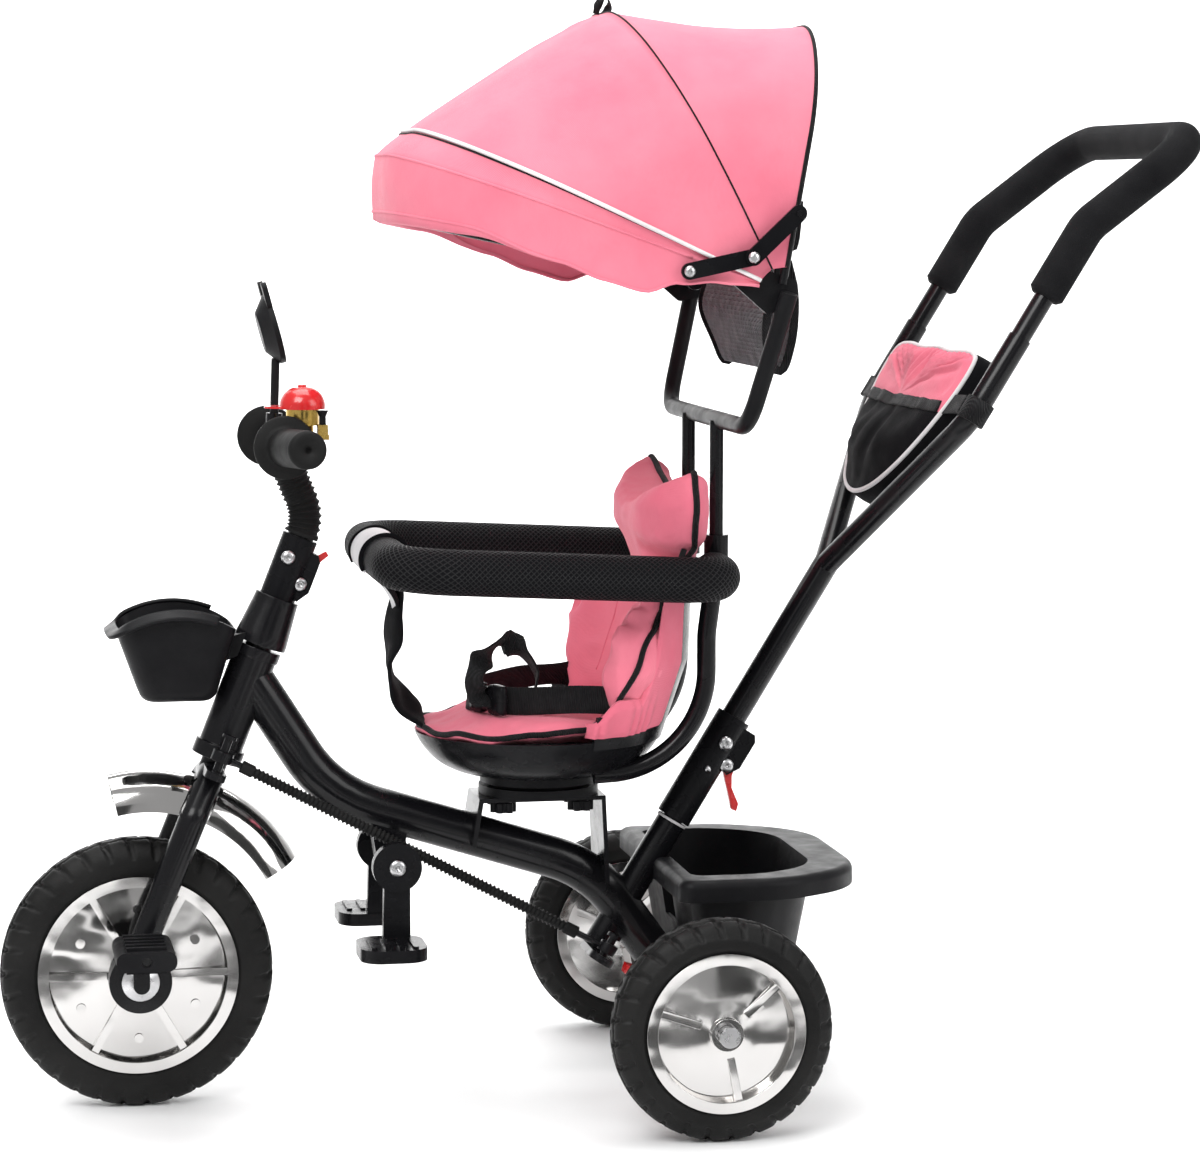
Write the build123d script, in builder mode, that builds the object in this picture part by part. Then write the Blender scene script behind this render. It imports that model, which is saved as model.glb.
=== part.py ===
from build123d import *
import math
import os

os.makedirs("parts", exist_ok=True)

# Driving sizes in millimetres, with +X forward, +Y to the rider's left and +Z up
FRONT_WHEEL_D = 254.0
REAR_WHEEL_D = 203.2
WHEELBASE = 510.0
TRACK = 458.0
TYRE_WIDTH = 46.0
HEAD_LEAN = 21.5
SHAFT_LEAN = 31.7
STEER_LEVER = 40.0
PUSH_WIDTH = 344.0
CANOPY_WIDTH = 406.0
RUN_GAP = 0.08
BODY_GAP = 0.4

# Tubes
MAIN_TUBE_D = 40.0
STEERER_D = 25.0
SHAFT_D = 20.0
AXLE_D = 12.0
CRANK_D = 12.0
ARM_TUBE_D = 22.0
BOW_TUBE_D = 19.0
SEAT_TUBE_D = 18.0
POST_D = 13.0

# The push handle bends back at its top, and its rearmost point sets how the whole is centred
PUSH_BEND_ALONG = 765.0
PUSH_TOP_REACH = 131.0
PUSH_TOP_LEAN = 53.0
FOAM_D = 34.0
SHAFT_AHEAD = 48.4
SHAFT_HEIGHT = 171.5
PUSH_TOP_AHEAD = (
    SHAFT_AHEAD
    - PUSH_BEND_ALONG * math.sin(math.radians(SHAFT_LEAN))
    - PUSH_TOP_REACH * math.sin(math.radians(PUSH_TOP_LEAN))
)
FRONT_REACH = WHEELBASE + FRONT_WHEEL_D / 2
REAR_AXLE_X = -(FRONT_REACH + PUSH_TOP_AHEAD - FOAM_D / 2) / 2
SIDE = (0, 1, 0)


def spot(ahead, height, side=0.0):
    """A point from its distance ahead of the rear axle, its height and its side."""
    return Vector(REAR_AXLE_X + ahead, side, height)


def leaning_plane(origin, lean):
    """A plane across the machine, its y axis leaning back from the vertical."""
    tilt = math.radians(lean)
    return Plane(origin=origin, x_dir=SIDE, z_dir=(math.cos(tilt), 0, math.sin(tilt)))


HEAD_TRAIL = 97.0
HEAD_AHEAD = WHEELBASE - HEAD_TRAIL
HEAD_HEIGHT = 380.0
HEAD_PLANE = leaning_plane(spot(HEAD_AHEAD, HEAD_HEIGHT), HEAD_LEAN)
SHAFT_PLANE = leaning_plane(spot(SHAFT_AHEAD, SHAFT_HEIGHT), SHAFT_LEAN)
FRONT_AXLE = spot(WHEELBASE, FRONT_WHEEL_D / 2)
REAR_AXLE = spot(0, REAR_WHEEL_D / 2)


def on_head(along, side=0.0, ahead=0.0):
    return HEAD_PLANE.from_local_coords((side, along, ahead))


def on_shaft(along, side=0.0, ahead=0.0):
    return SHAFT_PLANE.from_local_coords((side, along, ahead))


def head_section(along, side=0.0):
    return Plane(origin=on_head(along, side), x_dir=SIDE, z_dir=HEAD_PLANE.y_dir)


def shaft_section(along, side=0.0):
    return Plane(origin=on_shaft(along, side), x_dir=SIDE, z_dir=SHAFT_PLANE.y_dir)


def round_bar(plane, length, outer, inner=0.0):
    """A straight round bar or tube standing on a plane."""
    with BuildPart() as bar:
        with BuildSketch(plane):
            Circle(outer / 2)
            if inner:
                Circle(inner / 2, mode=Mode.SUBTRACT)
        extrude(amount=length)
    return bar.part


def bent_tube(points, bend, outer, inner=0.0):
    """A round tube along straight runs joined by bends."""
    with BuildPart() as tube:
        with BuildLine() as path:
            FilletPolyline(*points, radius=bend)
        with BuildSketch(Plane(origin=path.line @ 0, z_dir=path.line % 0)):
            Circle(outer / 2)
            if inner:
                Circle(inner / 2, mode=Mode.SUBTRACT)
        sweep()
    return tube.part


def cross_bar(centre, half_length, outer, inner=0.0):
    """A bar lying across the machine, centred on a point."""
    start = centre - Vector(0, half_length, 0)
    return round_bar(Plane(origin=start, x_dir=(1, 0, 0), z_dir=SIDE), 2 * half_length, outer, inner)


def plate(points, side, thickness, bend=0.0):
    """A flat plate standing fore and aft, drawn by points ahead of the rear axle and up."""
    with BuildPart() as flat:
        with BuildSketch(Plane(origin=spot(0, 0, side + thickness), x_dir=(1, 0, 0), z_dir=(0, -1, 0))):
            with BuildLine():
                if bend:
                    FilletPolyline(*points, radius=bend, close=True)
                else:
                    Polyline(*points, close=True)
            make_face()
        extrude(amount=thickness)
    return flat.part


def save(builder, name):
    builder.part.label = name
    export_step(builder.part, f"parts/{name}.step")


# The S-shaped main tube with the bracket for the footrest welded under it
MAIN_LINE = [
    spot(HEAD_AHEAD - 13.3, HEAD_HEIGHT + 20.9),
    spot(HEAD_AHEAD - 84, HEAD_HEIGHT - 91),
    spot(75, 209),
    spot(-1, REAR_WHEEL_D / 2),
]
MAIN_BEND = 125.0
FOOT_AHEAD = HEAD_AHEAD - 141
FOOT_PIVOT = spot(FOOT_AHEAD, 228)
FOOT_PIN_D = 10.0
AXLE_TUBE_D = 24.0
HEAD_TUBE_D = 42.0

with BuildPart() as main_tube:
    add(bent_tube(MAIN_LINE, MAIN_BEND, MAIN_TUBE_D))
    lug = [(-18, 268), (20, 276), (12, 222), (4, 216), (-6, 216), (-12, 222)]
    add(plate([(FOOT_AHEAD + x, z) for x, z in lug], -14, 28))
    add(bent_tube(MAIN_LINE, MAIN_BEND, MAIN_TUBE_D - 6), mode=Mode.SUBTRACT)
    add(round_bar(head_section(-60), 120, HEAD_TUBE_D), mode=Mode.SUBTRACT)
    add(cross_bar(REAR_AXLE, 40, AXLE_TUBE_D), mode=Mode.SUBTRACT)
    add(round_bar(shaft_section(-60), 120, SHAFT_D + 2 * RUN_GAP), mode=Mode.SUBTRACT)
    add(cross_bar(FOOT_PIVOT, 30, FOOT_PIN_D + 2 * RUN_GAP), mode=Mode.SUBTRACT)
save(main_tube, "main_tube")

# The head tube with a bearing cup at each end
HEAD_HALF = 50.0
with BuildPart() as head_tube:
    add(round_bar(head_section(-HEAD_HALF), 2 * HEAD_HALF, HEAD_TUBE_D, STEERER_D + 2 * RUN_GAP))
    add(round_bar(head_section(-58), 14, 48, STEERER_D + 2 * RUN_GAP))
    add(round_bar(head_section(44), 10, 45, STEERER_D + 2 * RUN_GAP))
save(head_tube, "head_tube")

# Two short tubes welded above and below the main tube carry the steering shaft
SOCKET_TOP = 98.0
LOWER_BEARING = -45.0
with BuildPart() as steering_tubes:
    add(round_bar(shaft_section(0), SOCKET_TOP, 29, SHAFT_D + 2 * RUN_GAP))
    add(round_bar(shaft_section(LOWER_BEARING), -LOWER_BEARING, 27, SHAFT_D + 2 * RUN_GAP))
    add(bent_tube(MAIN_LINE, MAIN_BEND, MAIN_TUBE_D), mode=Mode.SUBTRACT)
save(steering_tubes, "steering_tubes")

# The cross tube over the rear axle, with two flat arms that carry the rear basket
BASKET_FLOOR = 118.0
with BuildPart() as rear_frame:
    add(cross_bar(REAR_AXLE, TRACK / 2 - 36, AXLE_TUBE_D))
    for side in (-105, 85):
        add(plate([(4, 104), (4, BASKET_FLOOR), (-98, BASKET_FLOOR), (-98, 113), (-8, 104)], side, 20))
    add(cross_bar(REAR_AXLE, TRACK / 2, AXLE_D), mode=Mode.SUBTRACT)
save(rear_frame, "rear_frame")

with BuildPart() as rear_axle:
    add(cross_bar(REAR_AXLE, TRACK / 2 + 30, AXLE_D))
    for start in (-TRACK / 2 - 38, TRACK / 2 + 28):
        add(round_bar(Plane(origin=REAR_AXLE + Vector(0, start, 0), x_dir=(1, 0, 0), z_dir=SIDE), 10, 19))
save(rear_axle, "rear_axle")

# The bent plate under the seat stands on the main tube on two legs
SEAT_AHEAD = 128.0
BRACKET_TOP = 285.0
BRACKET_HALF = 35.0
BRACKET_SHAPE = [
    (69, BRACKET_TOP), (190, BRACKET_TOP), (197, 240), (193, 240), (186, BRACKET_TOP - 4),
    (73, BRACKET_TOP - 4), (69, 200), (65, 200),
]
KNOB_HEIGHT = 9.0
KNOB_FOOT = BRACKET_TOP - KNOB_HEIGHT - 5
KNOB_SPOTS = [(SEAT_AHEAD + fore, side) for fore in (-36, 38) for side in (-26, 26)]
with BuildPart() as seat_bracket:
    add(plate(BRACKET_SHAPE, -BRACKET_HALF, 2 * BRACKET_HALF))
    add(bent_tube(MAIN_LINE, MAIN_BEND, MAIN_TUBE_D), mode=Mode.SUBTRACT)
    for fore, side in KNOB_SPOTS:
        add(round_bar(Plane(origin=spot(fore, 270, side)), 20, 6.4), mode=Mode.SUBTRACT)
save(seat_bracket, "seat_bracket")

# Four hand knobs hold the seat base down on the bracket
with BuildPart() as seat_knobs:
    for fore, side in KNOB_SPOTS:
        with BuildSketch(Plane(origin=spot(fore, KNOB_FOOT, side))):
            Circle(9)
            with PolarLocations(9, 6):
                Circle(3.4)
        extrude(amount=KNOB_HEIGHT)
        neck = Plane(origin=spot(fore, KNOB_FOOT + KNOB_HEIGHT, side))
        add(round_bar(neck, BRACKET_TOP - KNOB_FOOT - KNOB_HEIGHT - 4, 13))
        add(round_bar(Plane(origin=spot(fore, BRACKET_TOP - 5, side)), 5, 6))
save(seat_knobs, "seat_knobs")

SEAT_FLOOR = 306.0
with BuildPart() as seat_base:
    add(round_bar(Plane(origin=spot(SEAT_AHEAD, BRACKET_TOP)), 9, 114))
    add(round_bar(Plane(origin=spot(SEAT_AHEAD, BRACKET_TOP + 9)), 3, 96))
    add(round_bar(Plane(origin=spot(SEAT_AHEAD, BRACKET_TOP + 12)), SEAT_FLOOR - BRACKET_TOP - 12, 111))
save(seat_base, "seat_base")

# The bucket seat is a dish with a tall curved back
SEAT_AXIS = Axis(spot(SEAT_AHEAD, 0), (0, 0, 1))
SEAT_PROFILE_PLANE = Plane(origin=spot(SEAT_AHEAD, 0), x_dir=(1, 0, 0), z_dir=(0, -1, 0))
SEAT_RIM = 347.0
SEAT_RIM_R = 118.0
TUBE_AHEAD = SEAT_AHEAD - SEAT_RIM_R - 32
POST_AHEAD = TUBE_AHEAD - 9
BACK_HALF_ANGLE = 47.0
BAND_HALF_ANGLE = 74.0
WING_HALF_ANGLE = 66.0
HEM = 372.0
BACK_TOP = 512.0


def back_sector(profile, half_angle):
    """A curved wall round the rear of the seat, from its profile in radius and height."""
    turn = math.radians(180 - half_angle)
    start = Plane(
        origin=spot(SEAT_AHEAD, 0),
        x_dir=(math.cos(turn), math.sin(turn), 0),
        z_dir=(math.sin(turn), -math.cos(turn), 0),
    )
    with BuildPart() as wall:
        with BuildSketch(start):
            with BuildLine():
                Polyline(*profile, close=True)
            make_face()
        revolve(axis=SEAT_AXIS, revolution_arc=2 * half_angle)
    return wall.part


def outside_of_arch(half_foot, half_top, foot, top, corner):
    """Everything outside a tapered arch seen from the front, for trimming a back."""
    with BuildPart() as outside:
        with BuildSketch(Plane(origin=spot(-80, 0), x_dir=SIDE, z_dir=(1, 0, 0))):
            with Locations((0, top)):
                Rectangle(500, 2 * (top - foot))
            with BuildLine():
                FilletPolyline(
                    (-half_foot, foot - 1), (-half_top, top), (half_top, top), (half_foot, foot - 1),
                    radius=corner, close=False,
                )
                Line((half_foot, foot - 1), (-half_foot, foot - 1))
            make_face(mode=Mode.SUBTRACT)
        extrude(amount=260)
    return outside.part


with BuildPart() as seat_shell:
    with BuildSketch(SEAT_PROFILE_PLANE):
        with BuildLine():
            Line((0, SEAT_FLOOR), (56, SEAT_FLOOR))
            ThreePointArc((56, SEAT_FLOOR), (SEAT_RIM_R - 20, 319), (SEAT_RIM_R, SEAT_RIM))
            Line((SEAT_RIM_R, SEAT_RIM), (SEAT_RIM_R - 4, SEAT_RIM))
            ThreePointArc((SEAT_RIM_R - 4, SEAT_RIM), (SEAT_RIM_R - 23, 323), (56, SEAT_FLOOR + 4))
            Line((56, SEAT_FLOOR + 4), (0, SEAT_FLOOR + 4))
            Line((0, SEAT_FLOOR + 4), (0, SEAT_FLOOR))
        make_face()
    revolve(axis=SEAT_AXIS)
    add(back_sector(
        [(SEAT_RIM_R + r, z) for r, z in (
            (-6, 340), (-1, 340), (25, 417), (29, BACK_TOP), (25, BACK_TOP), (21, 418))],
        BACK_HALF_ANGLE,
    ))
    add(back_sector(
        [(SEAT_RIM_R + r, z) for r, z in ((-6, 340), (-1, 340), (9.1, HEM), (5.1, HEM))], BAND_HALF_ANGLE,
    ))
    add(outside_of_arch(SEAT_RIM_R + 18, SEAT_RIM_R - 22, SEAT_RIM + 1, BACK_TOP, 38), mode=Mode.SUBTRACT)
save(seat_shell, "seat_shell")

# The cover: a crowned seat pad, a padded back and a plump head cushion joined by a neck
HEAD_PAD = [
    (-46, 490), (46, 490), (54, 514), (104, 532), (114, 566), (106, 602), (0, 570),
    (-106, 602), (-114, 566), (-104, 532), (-54, 514),
]
HEAD_PAD_REAR = POST_AHEAD + 15


def head_pad_section(depth, share):
    """The head cushion's outline at a depth, drawn in towards its middle."""
    with BuildSketch(Plane(origin=spot(HEAD_PAD_REAR + depth, 0), x_dir=SIDE, z_dir=(1, 0, 0))) as section:
        with BuildLine():
            FilletPolyline(*[(x * share, 545 + (y - 545) * share) for x, y in HEAD_PAD], radius=7, close=True)
        make_face()
    return section.sketch


with BuildPart() as seat_cover:
    with BuildSketch(SEAT_PROFILE_PLANE):
        with BuildLine():
            Line((0, SEAT_RIM), (SEAT_RIM_R - 15, SEAT_RIM))
            ThreePointArc(
                (SEAT_RIM_R - 15, SEAT_RIM), (SEAT_RIM_R - 7, SEAT_RIM + 6), (SEAT_RIM_R - 13, SEAT_RIM + 12),
            )
            ThreePointArc((SEAT_RIM_R - 13, SEAT_RIM + 12), (60, SEAT_RIM + 16), (0, SEAT_RIM + 17))
            Line((0, SEAT_RIM + 17), (0, SEAT_RIM))
        make_face()
    revolve(axis=SEAT_AXIS)
    add(back_sector(
        [(SEAT_RIM_R + r, z) for r, z in (
            (-20, 352), (-7, 352), (17.5, 418), (23, 500), (10, 500), (0, 468), (-6, 418), (-17, 372))],
        64,
    ))
    with BuildPart() as wings:
        wing = [(SEAT_RIM_R + r, z) for r, z in (
            (-2, HEM + 1), (9.6, HEM + 1), (25, 417), (28.5, 500), (10, 500), (0, 468), (-6, 418))]
        add(back_sector(wing, WING_HALF_ANGLE))
        add(back_sector([(SEAT_RIM_R - 20, 340), (SEAT_RIM_R + 60, 340), (SEAT_RIM_R + 60, 520),
                         (SEAT_RIM_R - 20, 520)], BACK_HALF_ANGLE + 0.3), mode=Mode.SUBTRACT)
    add(wings.part)
    add(outside_of_arch(SEAT_RIM_R + 14, SEAT_RIM_R - 26, SEAT_RIM + 18, 500, 40), mode=Mode.SUBTRACT)
    for depth, share in ((0, 0.86), (16, 1.0), (42, 0.8)):
        add(head_pad_section(depth, share))
    loft()
    add(back_sector([
        (SEAT_RIM_R + 24, 480), (SEAT_RIM_R + 32, 480),
        (SEAT_RIM_R + 32, BACK_TOP + 1), (SEAT_RIM_R + 24, BACK_TOP + 1),
    ], 64), mode=Mode.SUBTRACT)
save(seat_cover, "seat_cover")

# Two bent tubes run from under the seat up behind it, ending in wider collars
TUBE_SIDE = 62.0
COLLAR_TOP = 534.0
with BuildPart() as seat_tubes:
    for side in (-TUBE_SIDE, TUBE_SIDE):
        add(bent_tube(
            [spot(86, 310, side), spot(TUBE_AHEAD, 315, side), spot(TUBE_AHEAD, 440, side),
             spot(POST_AHEAD, 506, side)],
            95, SEAT_TUBE_D,
        ))
        add(round_bar(Plane(origin=spot(POST_AHEAD, 504, side)), COLLAR_TOP - 504, 23))
        add(round_bar(Plane(origin=spot(POST_AHEAD, 512, side)), 40, POST_D), mode=Mode.SUBTRACT)
    add(round_bar(Plane(origin=spot(SEAT_AHEAD, 280)), 26, 118), mode=Mode.SUBTRACT)
    with BuildSketch(SEAT_PROFILE_PLANE):
        with BuildLine():
            Line((0, SEAT_FLOOR), (56, SEAT_FLOOR))
            ThreePointArc((56, SEAT_FLOOR), (SEAT_RIM_R - 20, 319), (SEAT_RIM_R, SEAT_RIM))
            Line((SEAT_RIM_R, SEAT_RIM), (0, SEAT_RIM))
            Line((0, SEAT_RIM), (0, SEAT_FLOOR))
        make_face()
    revolve(axis=SEAT_AXIS, mode=Mode.SUBTRACT)
save(seat_tubes, "seat_tubes")

# The padded guard ring round the child, on a bent tube
GUARD_TILT = math.radians(2.9)
GUARD_PLANE = Plane(
    origin=spot(TUBE_AHEAD - 1, 499), x_dir=(math.cos(GUARD_TILT), 0, math.sin(GUARD_TILT)),
    z_dir=(-math.sin(GUARD_TILT), 0, math.cos(GUARD_TILT)),
)
GUARD_HALF = SEAT_RIM_R + 32
GUARD_LONG = 2 * SEAT_RIM_R + 66
GUARD_PAD_D = 42.0
GUARD_TUBE_D = 16.0


def guard_line(inner_end):
    ends = [(0, inner_end), (0, GUARD_HALF), (GUARD_LONG, GUARD_HALF)]
    mirrored = [(x, -y) for x, y in reversed(ends)]
    return [GUARD_PLANE.from_local_coords((x, y, 0)) for x, y in ends + mirrored]


with BuildPart() as guard_tube:
    add(bent_tube(guard_line(TUBE_SIDE - 4), 50, GUARD_TUBE_D))
    for side in (-TUBE_SIDE, TUBE_SIDE):
        add(bent_tube(
            [spot(TUBE_AHEAD, 340, side), spot(TUBE_AHEAD, 440, side), spot(POST_AHEAD, 506, side)],
            95, SEAT_TUBE_D,
        ), mode=Mode.SUBTRACT)
        add(round_bar(Plane(origin=spot(POST_AHEAD, 504, side)), COLLAR_TOP - 504, 23), mode=Mode.SUBTRACT)
save(guard_tube, "guard_tube")

with BuildPart() as guard_pad:
    add(bent_tube(guard_line(80), 50, GUARD_PAD_D, GUARD_TUBE_D))
save(guard_pad, "guard_pad")

# The wrap on the front of the guard, and the strap from it down to the seat
with BuildPart() as guard_strap:
    front = GUARD_PLANE.from_local_coords((GUARD_LONG, 0, 0))
    add(cross_bar(front, 34, GUARD_PAD_D + 4, GUARD_PAD_D))
    front_ahead = front.X - REAR_AXLE_X
    add(plate(
        [(front_ahead - 16, 505), (front_ahead - 12, 505), (front_ahead - 18, 395),
         (SEAT_AHEAD + SEAT_RIM_R - 4, 358), (SEAT_AHEAD + SEAT_RIM_R - 6, 354), (front_ahead - 22, 395)],
        -26, 52,
    ))
    add(cross_bar(front, 40, GUARD_PAD_D), mode=Mode.SUBTRACT)
save(guard_strap, "guard_strap")

# The waist belt lies on the seat with its buckle in front
with BuildPart() as harness:
    add(back_sector([
        (SEAT_RIM_R - 26, SEAT_RIM + 17.4), (SEAT_RIM_R - 21, SEAT_RIM + 17.4), (SEAT_RIM_R - 21, 395),
        (SEAT_RIM_R - 26, 395),
    ], 50))
    with BuildSketch(Plane(origin=spot(SEAT_AHEAD - 62, SEAT_RIM + 17.4))):
        Rectangle(70, 38)
    extrude(amount=5)
    with BuildSketch(Plane(origin=spot(SEAT_AHEAD - 26, SEAT_RIM + 17.4))):
        RectangleRounded(34, 46, 6)
    extrude(amount=11)
save(harness, "harness")

# Folding footrest: two round hubs on a pin, two legs and two plates
FOOT_LEG_SIDE = 54.0
with BuildPart() as footrest:
    add(cross_bar(FOOT_PIVOT, FOOT_LEG_SIDE + 12, FOOT_PIN_D))
    for turn in (-1, 1):
        inner = turn * FOOT_LEG_SIDE
        hub = Plane(origin=FOOT_PIVOT + Vector(0, inner, 0), x_dir=(1, 0, 0), z_dir=(0, turn, 0))
        add(round_bar(hub, 12, 46))
        leg = [(-12, 222), (12, 222), (14, 152), (-12, 152)]
        add(plate([(FOOT_AHEAD + x, z) for x, z in leg], min(inner, inner + turn * 10), 10))
        with BuildSketch(Plane(origin=spot(FOOT_AHEAD + 9, 150, turn * (FOOT_LEG_SIDE + 34)))):
            RectangleRounded(62, 72, 20)
        extrude(amount=12)
        with BuildSketch(Plane(origin=spot(FOOT_AHEAD + 9, 162, turn * (FOOT_LEG_SIDE + 40)))):
            with GridLocations(13, 0, 4, 1):
                SlotOverall(46, 5, rotation=90)
        extrude(amount=2)
save(footrest, "footrest")

# Rear basket, with a rolled rim, cut away round the tubes in front of it
BASKET_RIM = 222.0
BASKET_CORNER = 58.0
BASKET_CORNERS = (14, 70, 70, 70, 70, 14)
RIM_CORNER = 84.0
RIM_CORNERS = (14, 95, 95, 95, 95, 14)


def basket_plan(front, half, back, corner):
    """The basket's plan: square in front, rounded behind."""
    slope = corner * 0.6
    return [
        (front, half), (back + corner, half), (back, half - slope), (back, -half + slope),
        (back + corner, -half), (front, -half),
    ]


def basket_tub(floor, top, wall):
    """The tub of the rear basket, a little narrower at its floor."""
    with BuildPart() as tub:
        for height, draft in ((floor, 16), (top, 0)):
            plan = basket_plan(8 - draft - wall, 128 - draft - wall, -126 + draft + wall, BASKET_CORNER)
            with BuildSketch(Plane(origin=spot(0, height))):
                with BuildLine():
                    FilletPolyline(*plan, radius=BASKET_CORNERS, close=True)
                make_face()
        loft()
    return tub.part


def basket_slab(low, high, margin, rounding=0.0):
    """A level slab reaching a margin outside the tub, with its upper edge rounded."""
    plan = basket_plan(8 + margin / 2, 128 + margin, -126 - 1.5 * margin, RIM_CORNER)
    with BuildPart() as slab:
        with BuildSketch(Plane(origin=spot(0, low))):
            with BuildLine():
                FilletPolyline(*plan, radius=RIM_CORNERS, close=True)
            make_face()
        extrude(amount=high - low)
        if rounding:
            fillet(slab.edges().group_by(Axis.Z)[-1], rounding)
    return slab.part


with BuildPart() as rear_basket:
    add(basket_slab(BASKET_RIM - 20, BASKET_RIM, 26, 8))
    add(basket_slab(BASKET_RIM - 21, BASKET_RIM - 4, 22.5), mode=Mode.SUBTRACT)
    add(basket_tub(BASKET_FLOOR, BASKET_RIM - 0.5, 0))
    add(basket_tub(BASKET_FLOOR + 3.5, BASKET_RIM + 2, 3.5), mode=Mode.SUBTRACT)
    add(round_bar(shaft_section(-20), 160, 36), mode=Mode.SUBTRACT)
    add(bent_tube(MAIN_LINE, MAIN_BEND, MAIN_TUBE_D + 6), mode=Mode.SUBTRACT)
    with BuildSketch(Plane(origin=spot(30, BASKET_FLOOR + 40))):
        Rectangle(80, 50)
    extrude(amount=100, mode=Mode.SUBTRACT)
save(rear_basket, "rear_basket")

# The foot brake rocks on the rear cross tube, clear of the steering lever
BRAKE_SIDE = STEER_LEVER + 31
with BuildPart() as brake_pedal:
    add(cross_bar(REAR_AXLE + Vector(0, BRAKE_SIDE, 0), 11, 36))
    add(plate([(-60, 90), (-60, 97), (0, 112), (56, 130), (59, 122), (0, 96)], BRAKE_SIDE - 11, 22))
    with BuildSketch(Plane(origin=spot(-60, 88, BRAKE_SIDE - 2))):
        RectangleRounded(38, 28, 8)
    extrude(amount=9)
    add(cross_bar(REAR_AXLE + Vector(0, BRAKE_SIDE, 0), 40, AXLE_TUBE_D + 2 * RUN_GAP), mode=Mode.SUBTRACT)
save(brake_pedal, "brake_pedal")


def tyre(centre, radius, rim_radius, blocks):
    """A solid foam tyre with notched shoulders."""
    across = Plane(origin=centre, x_dir=SIDE, z_dir=(1, 0, 0))
    half = TYRE_WIDTH / 2
    with BuildPart() as ring:
        with BuildSketch(across):
            with BuildLine():
                Polyline(
                    (-half + 3, rim_radius), (-half, rim_radius + 5),
                    (-half, radius - 14), (-half + 7, radius - 3),
                    (-half + 13, radius), (half - 13, radius), (half - 7, radius - 3), (half, radius - 14),
                    (half, rim_radius + 5), (half - 3, rim_radius), close=True,
                )
            make_face()
        revolve(axis=Axis(centre, SIDE))
        for turn in (-1, 1):
            wall = Plane(origin=centre + Vector(0, turn * half, 0), x_dir=(1, 0, 0), z_dir=(0, -turn, 0))
            with BuildSketch(wall):
                with PolarLocations(radius, blocks, start_angle=(1 + turn) * 90 / blocks):
                    Rectangle(20, 7)
            extrude(amount=11, mode=Mode.SUBTRACT)
    return ring.part


def rim(centre, rim_radius, hub_half, bore, faces, ribs, first, studs):
    """A dished rim with lips, radial ribs on its faces and a hub."""
    across = Plane(origin=centre, x_dir=SIDE, z_dir=(1, 0, 0))
    half = TYRE_WIDTH / 2
    axis = Axis(centre, SIDE)
    with BuildPart() as body:
        with BuildSketch(across):
            with BuildLine():
                Polyline(
                    (-half - 1, rim_radius - 10), (-half - 1, rim_radius), (-half + 3, rim_radius),
                    (half - 3, rim_radius), (half + 1, rim_radius), (half + 1, rim_radius - 10),
                    (half - 2, rim_radius - 10), (half - 8, rim_radius - 4), (-half + 8, rim_radius - 4),
                    (-half + 2, rim_radius - 10), close=True,
                )
            make_face()
            Polygon((-hub_half, bore / 2), (hub_half, bore / 2), (hub_half, 15), (-hub_half, 15), align=None)
        revolve(axis=axis)
        for face in faces:
            with BuildSketch(across):
                Polygon(
                    (face * 9, rim_radius - 2), (face * 13, rim_radius - 2), (face * 18, 34), (face * 20, 14),
                    (face * 15, 14), (face * 14, 34), align=None,
                )
            revolve(axis=axis)
            rib_plane = Plane(origin=centre + Vector(0, face * 12, 0), x_dir=(0, 0, 1), z_dir=(0, face, 0))
            with BuildSketch(rib_plane):
                with PolarLocations((rim_radius + 20) / 2, ribs, start_angle=face * first):
                    Rectangle(rim_radius - 28, 7)
            extrude(amount=9)
            if studs:
                with BuildSketch(rib_plane):
                    with PolarLocations(rim_radius * 0.66, studs, start_angle=face * (first + 180 / ribs)):
                        Circle(4.5)
                extrude(amount=5.5)
    return body.part


# Front wheel: tyre, rim, and the crank that is its axle
FRONT_RIM_R = 93.0
REAR_RIM_R = 73.0
with BuildPart() as front_tyre:
    add(tyre(FRONT_AXLE, FRONT_WHEEL_D / 2, FRONT_RIM_R, 30))
save(front_tyre, "front_tyre")

with BuildPart() as front_rim:
    add(rim(FRONT_AXLE, FRONT_RIM_R, 27, CRANK_D, (-1, 1), 6, 30, 6))
save(front_rim, "front_rim")

CRANK_REACH = 40.0
CRANK_SIDE = 63.0
PEDAL_SIDE = 116.0
PEDAL_LONG = 78.0
with BuildPart() as crank:
    add(cross_bar(FRONT_AXLE, CRANK_SIDE + 5, CRANK_D))
    for turn in (-1, 1):
        foot = FRONT_AXLE + Vector(0, turn * CRANK_SIDE, 0)
        with BuildSketch(Plane(origin=foot, x_dir=(0, 0, turn), z_dir=(0, turn, 0))):
            with Locations((CRANK_REACH / 2, 0)):
                SlotCenterToCenter(CRANK_REACH, 15)
        extrude(amount=9)
        spindle = foot + Vector(0, turn * 5, turn * CRANK_REACH)
        add(round_bar(Plane(origin=spindle, x_dir=(1, 0, 0), z_dir=(0, turn, 0)), 84, 9))
save(crank, "crank")


def pedal(turn):
    """A rounded pedal block with grip ridges, bored for its spindle."""
    middle = FRONT_AXLE + Vector(0, turn * PEDAL_SIDE, turn * CRANK_REACH)
    with BuildPart() as block:
        with BuildSketch(Plane(origin=middle - Vector(0, PEDAL_LONG / 2, 0), x_dir=(1, 0, 0), z_dir=SIDE)):
            RectangleRounded(54, 18, 8)
        extrude(amount=PEDAL_LONG)
        for level in (-12, 8):
            with BuildSketch(Plane(origin=middle + Vector(0, 0, level))):
                with GridLocations(0, 14, 1, 5):
                    Rectangle(36, 6)
            extrude(amount=4)
        add(cross_bar(middle, 60, 9 + 2 * RUN_GAP), mode=Mode.SUBTRACT)
    return block.part


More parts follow.
